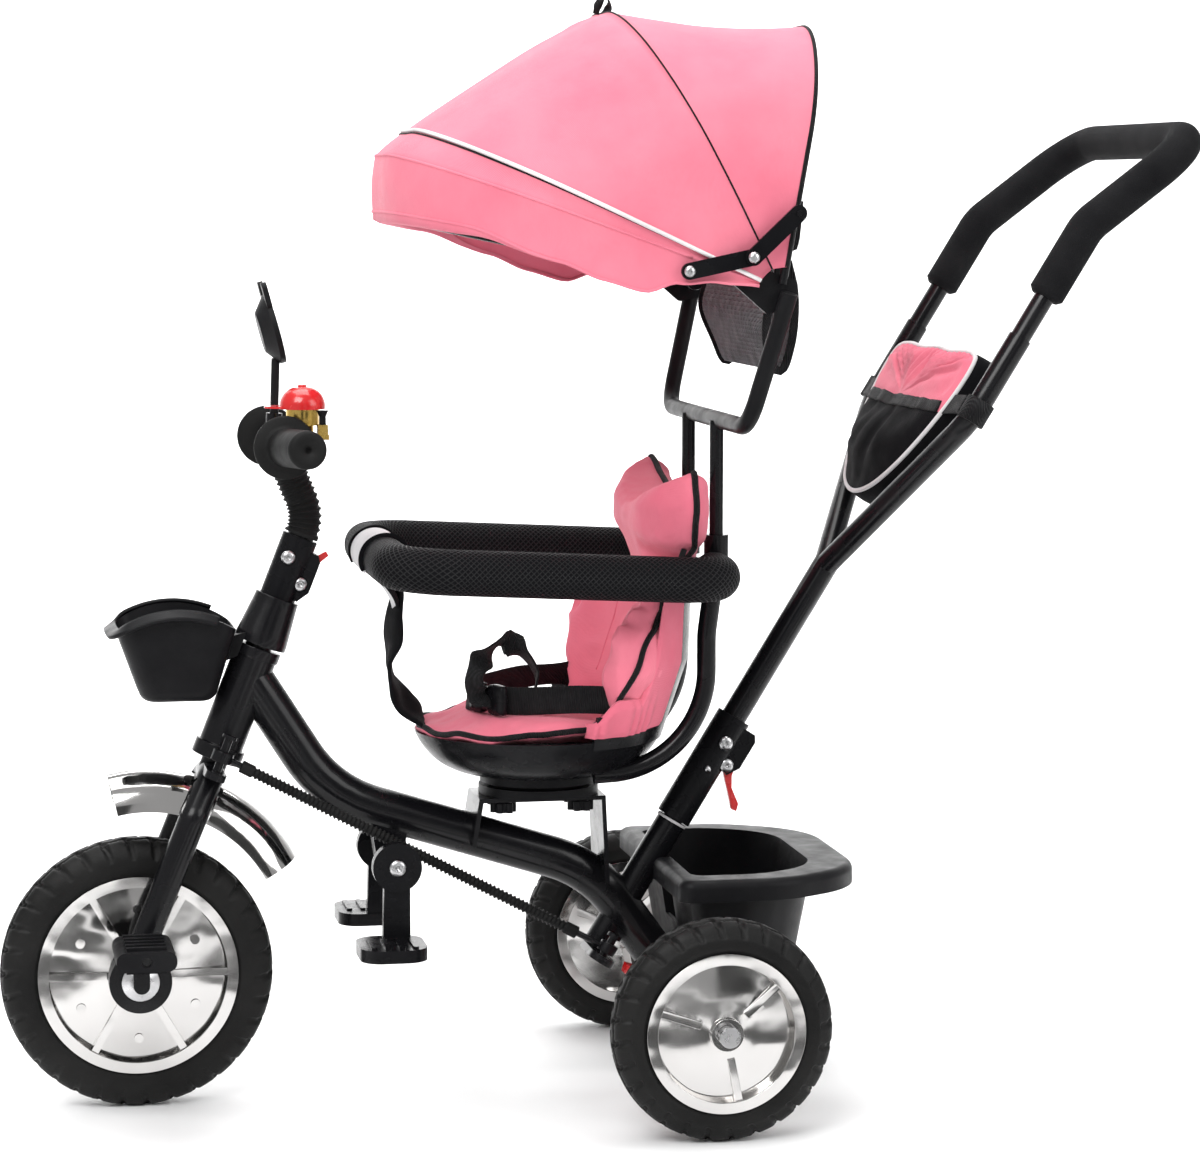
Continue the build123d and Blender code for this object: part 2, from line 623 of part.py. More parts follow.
with BuildPart() as left_pedal:
    add(pedal(1))
save(left_pedal, "left_pedal")

with BuildPart() as right_pedal:
    add(pedal(-1))
save(right_pedal, "right_pedal")

# Rear wheels, with ribs on the outer face only
REAR_BORE = AXLE_D + 2 * RUN_GAP
for label, turn in (("left", 1), ("right", -1)):
    middle = REAR_AXLE + Vector(0, turn * TRACK / 2, 0)
    with BuildPart() as rear_tyre:
        add(tyre(middle, REAR_WHEEL_D / 2, REAR_RIM_R, 26))
    save(rear_tyre, f"{label}_rear_tyre")
    with BuildPart() as rear_rim:
        add(rim(middle, REAR_RIM_R, 27, REAR_BORE, (turn,), 3, 71, 0))
    save(rear_rim, f"{label}_rear_rim")

# Fork: steerer, a bent tube over the wheel, round axle plates, and the lever for the link
CROWN = -73.0
LEG_SIDE = 42.0
AXLE_DROP = (FRONT_WHEEL_D / 2 - HEAD_HEIGHT) / math.cos(math.radians(HEAD_LEAN))
FENDER_R = 159.5
FENDER_CENTRE = FRONT_AXLE + Vector(-8, 0, 33)
FORK_INSIDE = 27.0
LINK_FRONT = -50.0
FORK_LINE = [
    on_head(AXLE_DROP + 12, LEG_SIDE, 7), on_head(CROWN - 38, LEG_SIDE, 5), on_head(CROWN, 15, 0),
    on_head(CROWN, -15, 0), on_head(CROWN - 38, -LEG_SIDE, 5), on_head(AXLE_DROP + 12, -LEG_SIDE, 7),
]
with BuildPart() as fork:
    add(bent_tube(FORK_LINE, 14, 26))
    add(round_bar(head_section(CROWN), 225, STEERER_D))
    with BuildSketch(head_section(CROWN + 1)):
        with Locations((STEER_LEVER / 2 + 5, 0)):
            SlotOverall(STEER_LEVER + 20, 20)
    extrude(amount=7)
    add(round_bar(head_section(CROWN + 4, STEER_LEVER), 38, 8))
    add(round_bar(head_section(CROWN + 41, STEER_LEVER), 3, 14))
    for turn in (-1, 1):
        add(round_bar(
            Plane(origin=FRONT_AXLE + Vector(0, turn * 31, 0), x_dir=(1, 0, 0), z_dir=(0, turn, 0)), 24, 58,
        ))
    add(cross_bar(FRONT_AXLE, 70, CRANK_D + 2 * RUN_GAP), mode=Mode.SUBTRACT)
    add(cross_bar(FENDER_CENTRE, FORK_INSIDE, 2 * FENDER_R), mode=Mode.SUBTRACT)
save(fork, "fork")

# The chrome fender is an arched strip over the wheel, clear of the fork legs
FENDER_HALF = 40.0
FENDER_DROP = 36.0
with BuildPart() as fork_legs:
    add(bent_tube(FORK_LINE, 14, 28))
    add(cross_bar(FENDER_CENTRE, FORK_INSIDE - BODY_GAP, 2 * FENDER_R + 100), mode=Mode.SUBTRACT)

with BuildPart() as front_fender:
    tail = math.radians(-62.8)
    edge = FENDER_R - FENDER_DROP
    with BuildSketch(Plane(
        origin=FENDER_CENTRE, x_dir=SIDE, z_dir=(math.cos(tail), 0, -math.sin(tail)),
    )):
        with BuildLine():
            ThreePointArc((-FENDER_HALF, edge), (0, FENDER_R), (FENDER_HALF, edge))
            Line((FENDER_HALF, edge), (FENDER_HALF - 2, edge))
            ThreePointArc((FENDER_HALF - 2, edge), (0, FENDER_R - 2), (-FENDER_HALF + 2, edge))
            Line((-FENDER_HALF + 2, edge), (-FENDER_HALF, edge))
        make_face()
    revolve(axis=Axis(FENDER_CENTRE, SIDE), revolution_arc=75)
    add(fork_legs.part, mode=Mode.SUBTRACT)
save(front_fender, "front_fender")

# The tapered cap over the top bearing turns with the fork
CAP_FOOT = 57.0
CAP_TOP = 104.0
with BuildPart() as head_cap:
    with BuildSketch(HEAD_PLANE):
        Polygon(
            (STEERER_D / 2, CAP_FOOT), (25, CAP_FOOT), (25, CAP_FOOT + 6), (21, CAP_TOP - 4), (21, CAP_TOP),
            (STEERER_D / 2, CAP_TOP), align=None,
        )
    revolve(axis=Axis(on_head(0), HEAD_PLANE.y_dir))
save(head_cap, "head_cap")


def grip_clamp(section, axis_plane, foot, top, bore, ear_low, ear_high, ear_out):
    """A sleeve with a flat ear behind it that houses a release lever."""
    with BuildPart() as sleeve:
        add(round_bar(section(foot), top - foot, bore + 9))
        with BuildSketch(axis_plane):
            with BuildLine():
                Polyline(
                    (ear_low, -bore / 2), (ear_low - 4, -ear_out + 8), (ear_low + 8, -ear_out),
                    (ear_high - 6, -ear_out), (ear_high, -ear_out + 4), (ear_high, -bore / 2), close=True,
                )
            make_face()
        extrude(amount=10, both=True)
        add(round_bar(section(foot - 5), top - foot + 10, bore), mode=Mode.SUBTRACT)
    return sleeve.part


def ear_plane(lean_plane):
    """The fore-and-aft plane of a leaning tube: x up along it, y ahead of it."""
    return Plane(origin=lean_plane.origin, x_dir=lean_plane.y_dir, z_dir=SIDE)


# The stem clamp and its red lever
CLAMP_FOOT = 104.0
CLAMP_TOP = 164.0
POST_TUBE_D = 25.0
STEM_EAR = ear_plane(HEAD_PLANE)
STEM_PIVOT = (116, -19.5)
with BuildPart() as stem_clamp:
    add(grip_clamp(head_section, STEM_EAR, CLAMP_FOOT, CLAMP_TOP, STEERER_D, 110, 154, 25))
    with BuildSketch(STEM_EAR):
        with Locations((140, -26.5)):
            Rectangle(66, 24)
    extrude(amount=4.4, both=True, mode=Mode.SUBTRACT)
    with BuildSketch(STEM_EAR):
        with Locations(STEM_PIVOT):
            Circle(2.5)
    extrude(amount=13, both=True)
save(stem_clamp, "stem_clamp")

with BuildPart() as stem_lever:
    with BuildSketch(STEM_EAR):
        with BuildLine():
            Polyline((116, -15.3), (128, -18), (150, -18), (160, -27), (157, -31),
                     (147, -25), (120, -23.5), (116, -23.7), close=True)
        make_face()
        with Locations(STEM_PIVOT):
            Circle(4.3)
            Circle(2.5 + RUN_GAP, mode=Mode.SUBTRACT)
    extrude(amount=3.8, both=True)
save(stem_lever, "stem_lever")

# The handlebar: a bent post, a swept crossbar and a socket for the mirror
POST_LINE = [on_head(152.4), on_head(185), spot(HEAD_AHEAD - 39, 622)]
POST_BEND = 45.0
BAR_HALF = 172.0
BAR_D = 22.0
BAR_MIDDLE = spot(HEAD_AHEAD - 35, 621)
BAR_END = spot(HEAD_AHEAD - 49, 626, BAR_HALF)
MIRROR_SIDE = -12.0
MIRROR_PLANE = leaning_plane(spot(HEAD_AHEAD - 37, 622, MIRROR_SIDE), 2)


def mirror_section(along):
    return Plane(origin=MIRROR_PLANE.from_local_coords((0, along, 0)), x_dir=SIDE, z_dir=MIRROR_PLANE.y_dir)


with BuildPart() as handlebar:
    add(bent_tube(POST_LINE, POST_BEND, POST_TUBE_D))
    with BuildLine() as bar_line:
        ThreePointArc(BAR_END - Vector(0, 2 * BAR_HALF, 0), BAR_MIDDLE, BAR_END)
    with BuildSketch(Plane(origin=bar_line.line @ 0, z_dir=bar_line.line % 0)):
        Circle(BAR_D / 2)
    sweep()
    add(cross_bar(spot(HEAD_AHEAD - 36, 622, MIRROR_SIDE), 6, 30))
    add(round_bar(mirror_section(8), 18, 15))
    add(round_bar(mirror_section(12), 40, 8 + 2 * RUN_GAP), mode=Mode.SUBTRACT)
save(handlebar, "handlebar")

# The ribbed sleeve round the post
SLEEVE_RIBS = 17
with BuildPart() as stem_bellows:
    with BuildLine() as post_line:
        FilletPolyline(*POST_LINE, radius=POST_BEND)
    for step in range(2 * SLEEVE_RIBS + 1):
        share = 0.125 + 0.705 * step / (2 * SLEEVE_RIBS)
        with BuildSketch(Plane(origin=post_line.line @ share, x_dir=SIDE, z_dir=post_line.line % share)):
            Circle(16 if step % 2 else 14.2)
    loft(ruled=True)
    add(bent_tube(POST_LINE, POST_BEND, POST_TUBE_D), mode=Mode.SUBTRACT)
save(stem_bellows, "stem_bellows")

# Rubber grips with a wide flange at the inner end
with BuildPart() as handlebar_grips:
    for turn in (-1, 1):
        inner_end = spot(HEAD_AHEAD - 38, 622, turn * 80)
        outer_end = spot(HEAD_AHEAD - 49.5, 626, turn * (BAR_HALF + 5))
        along = Plane(origin=inner_end, z_dir=outer_end - inner_end)
        add(round_bar(along, (outer_end - inner_end).length, 35))
        add(round_bar(along, 5, 58))
    add(handlebar.part, mode=Mode.SUBTRACT)
save(handlebar_grips, "handlebar_grips")

# The bell: a clamp and cup, a cap-shaped dome and a thumb lever
BELL = spot(HEAD_AHEAD - 36.5, 622, 62)
BELL_BACK = Vector(-20, 0, 0)
BELL_FOOT = 641.0
BELL_CUP_TOP = 656.0
BELL_CUP = BELL + BELL_BACK
BELL_PIVOT = BELL_CUP + Vector(-17, 12, 17)
with BuildPart() as bell_base:
    add(cross_bar(BELL, 7, 30))
    add(round_bar(Plane(origin=Vector(BELL_CUP.X, BELL_CUP.Y, 630)), BELL_FOOT - 630, 20))
    add(round_bar(Plane(origin=Vector(BELL_CUP.X, BELL_CUP.Y, BELL_FOOT)), BELL_CUP_TOP - BELL_FOOT, 30))
    with BuildSketch(Plane(origin=BELL_PIVOT - Vector(0, 0, 8))):
        Rectangle(9, 12)
    extrude(amount=11)
    with BuildSketch(Plane(origin=BELL_PIVOT - Vector(0, 0, 11))):
        with Locations((4, -5)):
            Rectangle(20, 12)
    extrude(amount=5)
    with BuildSketch(Plane(origin=BELL_PIVOT - Vector(0, 0, 4))):
        Rectangle(20, 5)
    extrude(amount=20, mode=Mode.SUBTRACT)
    add(cross_bar(BELL_PIVOT, 5, 3))
    add(handlebar.part, mode=Mode.SUBTRACT)
save(bell_base, "bell_base")

with BuildPart() as bell_cap:
    cap_foot = Vector(BELL_CUP.X, BELL_CUP.Y, BELL_CUP_TOP)
    with BuildSketch(Plane(origin=cap_foot, x_dir=(1, 0, 0), z_dir=(0, -1, 0))):
        with BuildLine():
            Line((0, 0), (21, 0))
            Line((21, 0), (21, 2))
            ThreePointArc((21, 2), (16, 15), (0, 20))
            Line((0, 20), (0, 0))
        make_face()
    revolve(axis=Axis(Vector(BELL_CUP.X, BELL_CUP.Y, 0), (0, 0, 1)))
    with BuildSketch(Plane(origin=Vector(BELL_CUP.X, BELL_CUP.Y, BELL_CUP_TOP + 1))):
        with Locations((17, 0)):
            Ellipse(18, 16)
    extrude(amount=1.8)
    add(round_bar(Plane(origin=Vector(BELL_CUP.X, BELL_CUP.Y, BELL_CUP_TOP + 19)), 3, 8))
save(bell_cap, "bell_cap")

with BuildPart() as bell_lever:
    with BuildSketch(Plane(origin=BELL_PIVOT - Vector(0, 2, 0), x_dir=(1, 0, 0), z_dir=(0, -1, 0))):
        with Locations((0, 4.5)):
            SlotOverall(15, 6, rotation=90)
        Circle(1.5 + RUN_GAP, mode=Mode.SUBTRACT)
    extrude(amount=-4)
    with BuildSketch(Plane(origin=BELL_PIVOT + Vector(0, 0, 10))):
        Circle(3)
    with BuildSketch(Plane(origin=BELL_PIVOT + Vector(0, 0, 16))):
        Circle(5.5)
    loft()
save(bell_lever, "bell_lever")

# The oval mirror on its stalk, its glass facing the rider
MIRROR_TILT = math.radians(15)
MIRROR_MIDDLE = spot(HEAD_AHEAD - 41, 727, MIRROR_SIDE)
MIRROR_FACE = Plane(
    origin=MIRROR_MIDDLE, x_dir=SIDE, z_dir=(-math.cos(MIRROR_TILT), 0, math.sin(MIRROR_TILT)),
)
with BuildPart() as mirror_housing:
    add(round_bar(mirror_section(13), 64, 8))
    with BuildSketch(MIRROR_FACE.offset(-16)):
        Ellipse(15, 19)
    with BuildSketch(MIRROR_FACE.offset(-5)):
        Ellipse(27, 33)
    loft()
    with BuildSketch(MIRROR_FACE.offset(-5)):
        Ellipse(27, 33)
        with Locations((-17, -32), (17, -32)):
            SlotOverall(26, 12, rotation=90)
    extrude(amount=5)
    with BuildSketch(MIRROR_FACE):
        Ellipse(24, 30)
    extrude(amount=-2, mode=Mode.SUBTRACT)
save(mirror_housing, "mirror_housing")

with BuildPart() as mirror_glass:
    with BuildSketch(MIRROR_FACE.offset(-2)):
        Ellipse(23.8, 29.8)
    extrude(amount=1.5)
save(mirror_glass, "mirror_glass")

# The front basket hooks on the tapered cap and turns with it
TUB_FLOOR = HEAD_HEIGHT + 4


def front_tub(low, high, shrink):
    """The flared tub of the front basket between two heights, rounded underneath."""
    with BuildPart() as tub:
        for height in (low, high):
            rise = (height - TUB_FLOOR) / 96
            back_edge = HEAD_AHEAD + 23 - 28 * rise + shrink
            front_edge = HEAD_AHEAD + 90 + 34 * rise - shrink
            half = 37 + 14 * rise - shrink
            with BuildSketch(Plane(origin=spot((back_edge + front_edge) / 2, height))):
                RectangleRounded(front_edge - back_edge, 2 * half, 18)
        loft()
        fillet(tub.edges().group_by(Axis.Z)[0], 12 - shrink)
    return tub.part


with BuildPart() as front_basket:
    add(front_tub(TUB_FLOOR, TUB_FLOOR + 108, 0))
    add(front_tub(TUB_FLOOR + 3, TUB_FLOOR + 110, 3), mode=Mode.SUBTRACT)
    back = HEAD_AHEAD - 13
    front = HEAD_AHEAD + 132
    with BuildSketch(Plane(origin=spot(0, 0, 120), x_dir=(1, 0, 0), z_dir=(0, -1, 0))):
        with BuildLine():
            ThreePointArc((back, TUB_FLOOR + 52), (HEAD_AHEAD + 51, TUB_FLOOR + 84), (front, TUB_FLOOR + 48))
            Line((front, TUB_FLOOR + 48), (front, TUB_FLOOR + 136))
            Line((front, TUB_FLOOR + 136), (back, TUB_FLOOR + 136))
            Line((back, TUB_FLOOR + 136), (back, TUB_FLOOR + 52))
        make_face()
    extrude(amount=240, mode=Mode.SUBTRACT)
    add(plate(
        [(back, TUB_FLOOR + 46), (back + 30, TUB_FLOOR + 34),
         (back + 30, TUB_FLOOR + 56), (back, TUB_FLOOR + 64)],
        -18, 36,
    ))
    add(round_bar(head_section(CAP_FOOT - 20), 100, 50.2), mode=Mode.SUBTRACT)
save(front_basket, "front_basket")

# The steering shaft with its lever at the foot and a wider head for the handle clamp
LINK_REAR = -38.0
SHAFT_TOP = 150.0
STEM_D = 25.0
with BuildPart() as steering_shaft:
    add(round_bar(shaft_section(-53), 152, SHAFT_D))
    add(round_bar(shaft_section(SOCKET_TOP + 0.8), SHAFT_TOP - SOCKET_TOP - 0.8, STEM_D))
    with BuildSketch(shaft_section(-53)):
        with Locations((STEER_LEVER / 2, 0)):
            SlotOverall(STEER_LEVER + 30, 26)
    extrude(amount=7)
    add(round_bar(shaft_section(-48, STEER_LEVER), 22, 8))
    add(round_bar(shaft_section(-27, STEER_LEVER), 4, 14))
save(steering_shaft, "steering_shaft")

SHAFT_EAR = ear_plane(SHAFT_PLANE)
TRIGGER_PIVOT = (169, -20.5)
with BuildPart() as handle_clamp:
    add(grip_clamp(shaft_section, SHAFT_EAR, SOCKET_TOP + 0.8, 212, STEM_D, 164, 207, 29))
    with BuildSketch(SHAFT_EAR):
        with Locations((158, -28.5)):
            Rectangle(44, 28)
    extrude(amount=4.4, both=True, mode=Mode.SUBTRACT)
    with BuildSketch(SHAFT_EAR):
        with Locations(TRIGGER_PIVOT):
            Circle(3)
    extrude(amount=13, both=True)
save(handle_clamp, "handle_clamp")

with BuildPart() as handle_lever:
    with BuildSketch(SHAFT_EAR):
        with BuildLine():
            Polyline((176, -16.5), (176, -25), (162, -28), (152, -34), (142, -48), (135, -50), (134, -45),
                     (145, -34), (154, -25), (163, -16.5), close=True)
        make_face()
        with Locations(TRIGGER_PIVOT):
            Circle(3 + RUN_GAP, mode=Mode.SUBTRACT)
    extrude(amount=3.8, both=True)
save(handle_lever, "handle_lever")

# The link from the shaft's lever to the fork's lever, inside a ribbed hose
LINK_START = on_shaft(LINK_REAR, STEER_LEVER)
LINK_END = on_head(LINK_FRONT, STEER_LEVER)
LINK_LINE = LINK_END - LINK_START
LINK_PLANE = Plane(origin=LINK_START, x_dir=LINK_LINE, z_dir=SIDE)
EYE_PLAY = 1.2
LINK_ROD_D = 6.0
with BuildPart() as steering_link:
    add(round_bar(Plane(origin=LINK_START, z_dir=LINK_LINE), LINK_LINE.length, LINK_ROD_D))
    add(round_bar(shaft_section(LINK_REAR - 5, STEER_LEVER), 10, 18))
    add(round_bar(head_section(LINK_FRONT - 5, STEER_LEVER), 10, 20))
    add(round_bar(shaft_section(LINK_REAR - 12, STEER_LEVER), 24, 8 + 2 * RUN_GAP), mode=Mode.SUBTRACT)
    add(round_bar(head_section(LINK_FRONT - 12, STEER_LEVER), 24, 8 + 2 * EYE_PLAY), mode=Mode.SUBTRACT)
save(steering_link, "steering_link")

HOSE_RIBS = 52
HOSE_FROM = 34.0
HOSE_TO = LINK_LINE.length - 20
HOSE_R = 5.6
HOSE_BORE_R = LINK_ROD_D / 2
CUFF = 16.0
with BuildPart() as link_hose:
    pitch = (HOSE_TO - HOSE_FROM - 2 * CUFF) / HOSE_RIBS
    ribs = []
    for rib in range(HOSE_RIBS):
        start = HOSE_FROM + CUFF + rib * pitch
        ribs += [(start, HOSE_R - 1), (start + pitch / 2, HOSE_R)]
    with BuildSketch(LINK_PLANE):
        with BuildLine():
            Polyline(
                (HOSE_FROM, HOSE_BORE_R), (HOSE_FROM, HOSE_R), (HOSE_FROM + CUFF - 1, HOSE_R), *ribs,
                (HOSE_TO - CUFF, HOSE_R - 1), (HOSE_TO - CUFF + 1, HOSE_R), (HOSE_TO, HOSE_R),
                (HOSE_TO, HOSE_BORE_R), (HOSE_TO - CUFF, HOSE_BORE_R),
                (HOSE_TO - CUFF - 4, HOSE_BORE_R + 0.6),
                (HOSE_FROM + CUFF + 4, HOSE_BORE_R + 0.6), (HOSE_FROM + CUFF, HOSE_BORE_R), close=True,
            )
        make_face()
    revolve(axis=Axis(LINK_START, LINK_LINE))
save(link_hose, "link_hose")

# The push handle: a stem that slides in the clamp, two spread arms, and a bow in foam
PUSH_HALF = PUSH_WIDTH / 2
YOKE = 380.0
ARM_TOP = 645.0
with BuildPart() as handle_tubes:
    add(round_bar(shaft_section(SHAFT_TOP + 2), YOKE - SHAFT_TOP + 4, STEM_D - 2 * RUN_GAP))
    for turn in (-1, 1):
        add(bent_tube(
            [on_shaft(YOKE, 0), on_shaft(YOKE + 178, turn * PUSH_HALF), on_shaft(ARM_TOP, turn * PUSH_HALF)],
            60, ARM_TUBE_D,
        ))
        add(round_bar(shaft_section(600, turn * PUSH_HALF), 60, BOW_TUBE_D), mode=Mode.SUBTRACT)
save(handle_tubes, "handle_tubes")

PUSH_TOP = spot(PUSH_TOP_AHEAD, on_shaft(PUSH_BEND_ALONG).Z
                + PUSH_TOP_REACH * math.cos(math.radians(PUSH_TOP_LEAN)))


def bow_line(start):
    """The line of the bow from a place on one arm over to the other."""
    near = [on_shaft(start, PUSH_HALF), on_shaft(PUSH_BEND_ALONG, PUSH_HALF)]
    near.append(PUSH_TOP + Vector(0, PUSH_HALF, 0))
    return near + [Vector(p.X, -p.Y, p.Z) for p in reversed(near)]


with BuildPart() as handle_bow:
    add(bent_tube(bow_line(602), 50, BOW_TUBE_D))
save(handle_bow, "handle_bow")

with BuildPart() as handle_grip:
    add(bent_tube(bow_line(688), 50, FOAM_D, BOW_TUBE_D))
save(handle_grip, "handle_grip")

# The storage bag hangs between the arms
with BuildPart() as handle_bag:
    with BuildSketch(SHAFT_PLANE.offset(-16)):
        Polygon((-42, 456), (42, 456), (128, 546), (142, 576), (142, 614), (-142, 614), (-142, 576),
                (-128, 546), align=None)
    extrude(amount=50)
save(handle_bag, "handle_bag")

# The canopy: a bracket on two posts, three hoops, and fabric stretched over them
CANOPY_HALF = CANOPY_WIDTH / 2
CANOPY_AHEAD = POST_AHEAD - 29
CANOPY_PIVOT = spot(CANOPY_AHEAD, 765)
BRACKET_BAR = 641.0
CLOTH = 2.0
REAR_HOOP = (100.0, 242.0, 105.0)
MID_HOOP = (63.4, 284.0, 178.0)
PIPING = (25.1, 340.0, 172.0)
FRONT_HOOP = (11.7, 344.0, 172.0)
HOOP_FOOT = 22.0
REAR_BOW_HALF = CANOPY_HALF - 7.0
MID_BOW_HALF = CANOPY_HALF - 23.0
FRONT_BOW_HALF = CANOPY_HALF - 34.0
BOW_ROD_D = 8.0
BRACKET_TUBE_D = 16.0

with BuildPart() as canopy_posts:
    for side in (-TUBE_SIDE, TUBE_SIDE):
        add(round_bar(Plane(origin=spot(POST_AHEAD, 514, side)), BRACKET_BAR - 514, POST_D))
    add(cross_bar(spot(POST_AHEAD - 4, BRACKET_BAR), 120, BRACKET_TUBE_D), mode=Mode.SUBTRACT)
save(canopy_posts, "canopy_posts")

with BuildPart() as canopy_bracket:
    arm = [spot(CANOPY_AHEAD - 6, 763, CANOPY_HALF - 1), spot(POST_AHEAD - 4, BRACKET_BAR, CANOPY_HALF - 28)]
    add(bent_tube(arm + [Vector(p.X, -p.Y, p.Z) for p in reversed(arm)], 32, BRACKET_TUBE_D))
    for turn in (-1, 1):
        inner = turn * (CANOPY_HALF - 16.5)
        add(plate(
            [(CANOPY_AHEAD + x, z) for x, z in (
                (-18, 750), (12, 744), (44, 772), (40, 788), (10, 782), (-16, 774))],
            min(inner, inner + turn * 5), 5, 5,
        ))
        add(round_bar(
            Plane(origin=CANOPY_PIVOT + Vector(0, inner, 0), x_dir=(1, 0, 0), z_dir=(0, -turn, 0)),
            25, BOW_ROD_D,
        ))
        add(round_bar(
            Plane(origin=CANOPY_PIVOT + Vector(-4, inner, -9), x_dir=(1, 0, 0), z_dir=(0, turn, 0)), 12, 10,
        ))
save(canopy_bracket, "canopy_bracket")


def hoop_plane(angle):
    """A plane through the canopy pivots, its y axis raised from straight ahead."""
    raised = math.radians(angle)
    return Plane(origin=CANOPY_PIVOT, x_dir=SIDE, z_dir=(math.sin(raised), 0, -math.cos(raised)))


def hoop_points(half, foot, reach):
    return [(-half, foot), (-half, reach), (half, reach), (half, foot)]


def hoop_rod(hoop, half, foot):
    """A bent rod under the fabric in the plane of a hoop."""
    angle, reach, corner = hoop
    flat = hoop_points(half, foot, reach - 9)
    points = [hoop_plane(angle).from_local_coords((x, y, 0)) for x, y in flat]
    return bent_tube(points, corner - 9, BOW_ROD_D)


def hoop_eyes(hoop, half):
    """The two eyes of a hoop that turn on the canopy pivots."""
    with BuildPart() as eyes:
        add(hoop_rod(hoop, half, 6))
        for side in (-half, half):
            eye = Plane(origin=CANOPY_PIVOT + Vector(0, side - 5, 0), x_dir=(-1, 0, 0), z_dir=SIDE)
            add(round_bar(eye, 10, 18))
            add(round_bar(eye.offset(-2), 14, BOW_ROD_D + 2 * RUN_GAP), mode=Mode.SUBTRACT)
    return eyes.part


STAY_REAR = CANOPY_PIVOT + 70 * hoop_plane(REAR_HOOP[0]).y_dir
STAY_ELBOW = spot(CANOPY_AHEAD + 29, 795)
STAY_FRONT = CANOPY_PIVOT + 88 * hoop_plane(FRONT_HOOP[0]).y_dir
RIVET_D = 5.0
with BuildPart() as rear_bow:
    add(hoop_rod(REAR_HOOP, REAR_BOW_HALF, 6))
    for turn in (-1, 1):
        start = STAY_REAR + Vector(0, turn * REAR_BOW_HALF, 0)
        add(round_bar(Plane(origin=start, x_dir=(1, 0, 0), z_dir=(0, turn, 0)), 17.6, RIVET_D))
save(rear_bow, "rear_bow")

with BuildPart() as mid_bow:
    add(hoop_eyes(MID_HOOP, MID_BOW_HALF))
save(mid_bow, "mid_bow")

with BuildPart() as front_bow:
    add(hoop_eyes(FRONT_HOOP, FRONT_BOW_HALF))
save(front_bow, "front_bow")


def fabric(hoops):
    """Fabric stretched over a row of hoops."""
    with BuildPart() as cloth:
        for angle, reach, corner in hoops:
            with BuildSketch(hoop_plane(angle)):
                with BuildLine():
                    FilletPolyline(*hoop_points(CANOPY_HALF, HOOP_FOOT, reach), radius=corner)
                    FilletPolyline(
                        *hoop_points(CANOPY_HALF - CLOTH, HOOP_FOOT, reach - CLOTH), radius=corner - CLOTH,
                    )
                    Line((-CANOPY_HALF, HOOP_FOOT), (-CANOPY_HALF + CLOTH, HOOP_FOOT))
                    Line((CANOPY_HALF, HOOP_FOOT), (CANOPY_HALF - CLOTH, HOOP_FOOT))
                make_face()
        loft(ruled=True)
    return cloth.part


with BuildPart() as canopy_rear_panel:
    add(fabric([REAR_HOOP, MID_HOOP]))
    add(cross_bar(STAY_REAR, CANOPY_HALF + 10, RIVET_D + 1), mode=Mode.SUBTRACT)
save(canopy_rear_panel, "canopy_rear_panel")

with BuildPart() as canopy_front_panel:
    add(fabric([(MID_HOOP[0] - 0.3, MID_HOOP[1], MID_HOOP[2]), PIPING, FRONT_HOOP]))
save(canopy_front_panel, "canopy_front_panel")

# The mesh pocket closes the lower back of the canopy and hangs down behind the arms
with BuildPart() as canopy_pocket:
    wide = REAR_BOW_HALF - BOW_ROD_D / 2
    middle = MID_BOW_HALF - 34
    with BuildSketch(hoop_plane(REAR_HOOP[0]).offset(-1.5)):
        Polygon(
            (-middle, -26), (middle, -26), (middle, 48), (wide, 48), (wide, 96), (-wide, 96), (-wide, 48),
            (-middle, 48), align=None,
        )
    extrude(amount=3)
    with BuildSketch(Plane(origin=spot(CANOPY_AHEAD + 3, 743), x_dir=SIDE, z_dir=(0.9, 0, -0.43))):
        Polygon((-middle, 0), (middle, 0), (110, -62), (-110, -62), align=None)
    extrude(amount=3)
save(canopy_pocket, "canopy_pocket")


def stay_bar(start, end, side, thickness):
    """A flat bar with round ends between two rivets."""
    run = end - start
    middle = (start + end) * 0.5 + Vector(0, side, 0)
    with BuildPart() as bar:
        with BuildSketch(Plane(origin=middle, x_dir=run, z_dir=SIDE)):
            SlotCenterToCenter(run.length, 15)
        extrude(amount=thickness)
    return bar.part


# The two-part stays on each side hold the canopy open
STAY_INNER = CANOPY_HALF + 1.2
with BuildPart() as stay_front_links:
    for turn in (-1, 1):
        add(stay_bar(STAY_ELBOW, STAY_FRONT, turn * (STAY_INNER + 1.9) - 1.9, 3.8))
    add(cross_bar(STAY_ELBOW, CANOPY_HALF + 20, RIVET_D + 2 * RUN_GAP), mode=Mode.SUBTRACT)
save(stay_front_links, "stay_front_links")

with BuildPart() as stay_rear_links:
    for turn in (-1, 1):
        add(stay_bar(STAY_REAR, STAY_ELBOW, turn * (STAY_INNER + 6.2) - 1.9, 3.8))
    add(cross_bar(STAY_REAR, CANOPY_HALF + 20, RIVET_D + 2 * RUN_GAP), mode=Mode.SUBTRACT)
    for turn in (-1, 1):
        start = STAY_ELBOW + Vector(0, turn * (STAY_INNER - 0.4), 0)
        add(round_bar(Plane(origin=start, x_dir=(1, 0, 0), z_dir=(0, turn, 0)), 10, RIVET_D))
save(stay_rear_links, "stay_rear_links")
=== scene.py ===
import bpy
import math
from mathutils import Matrix, Vector, noise
from mathutils.bvhtree import BVHTree


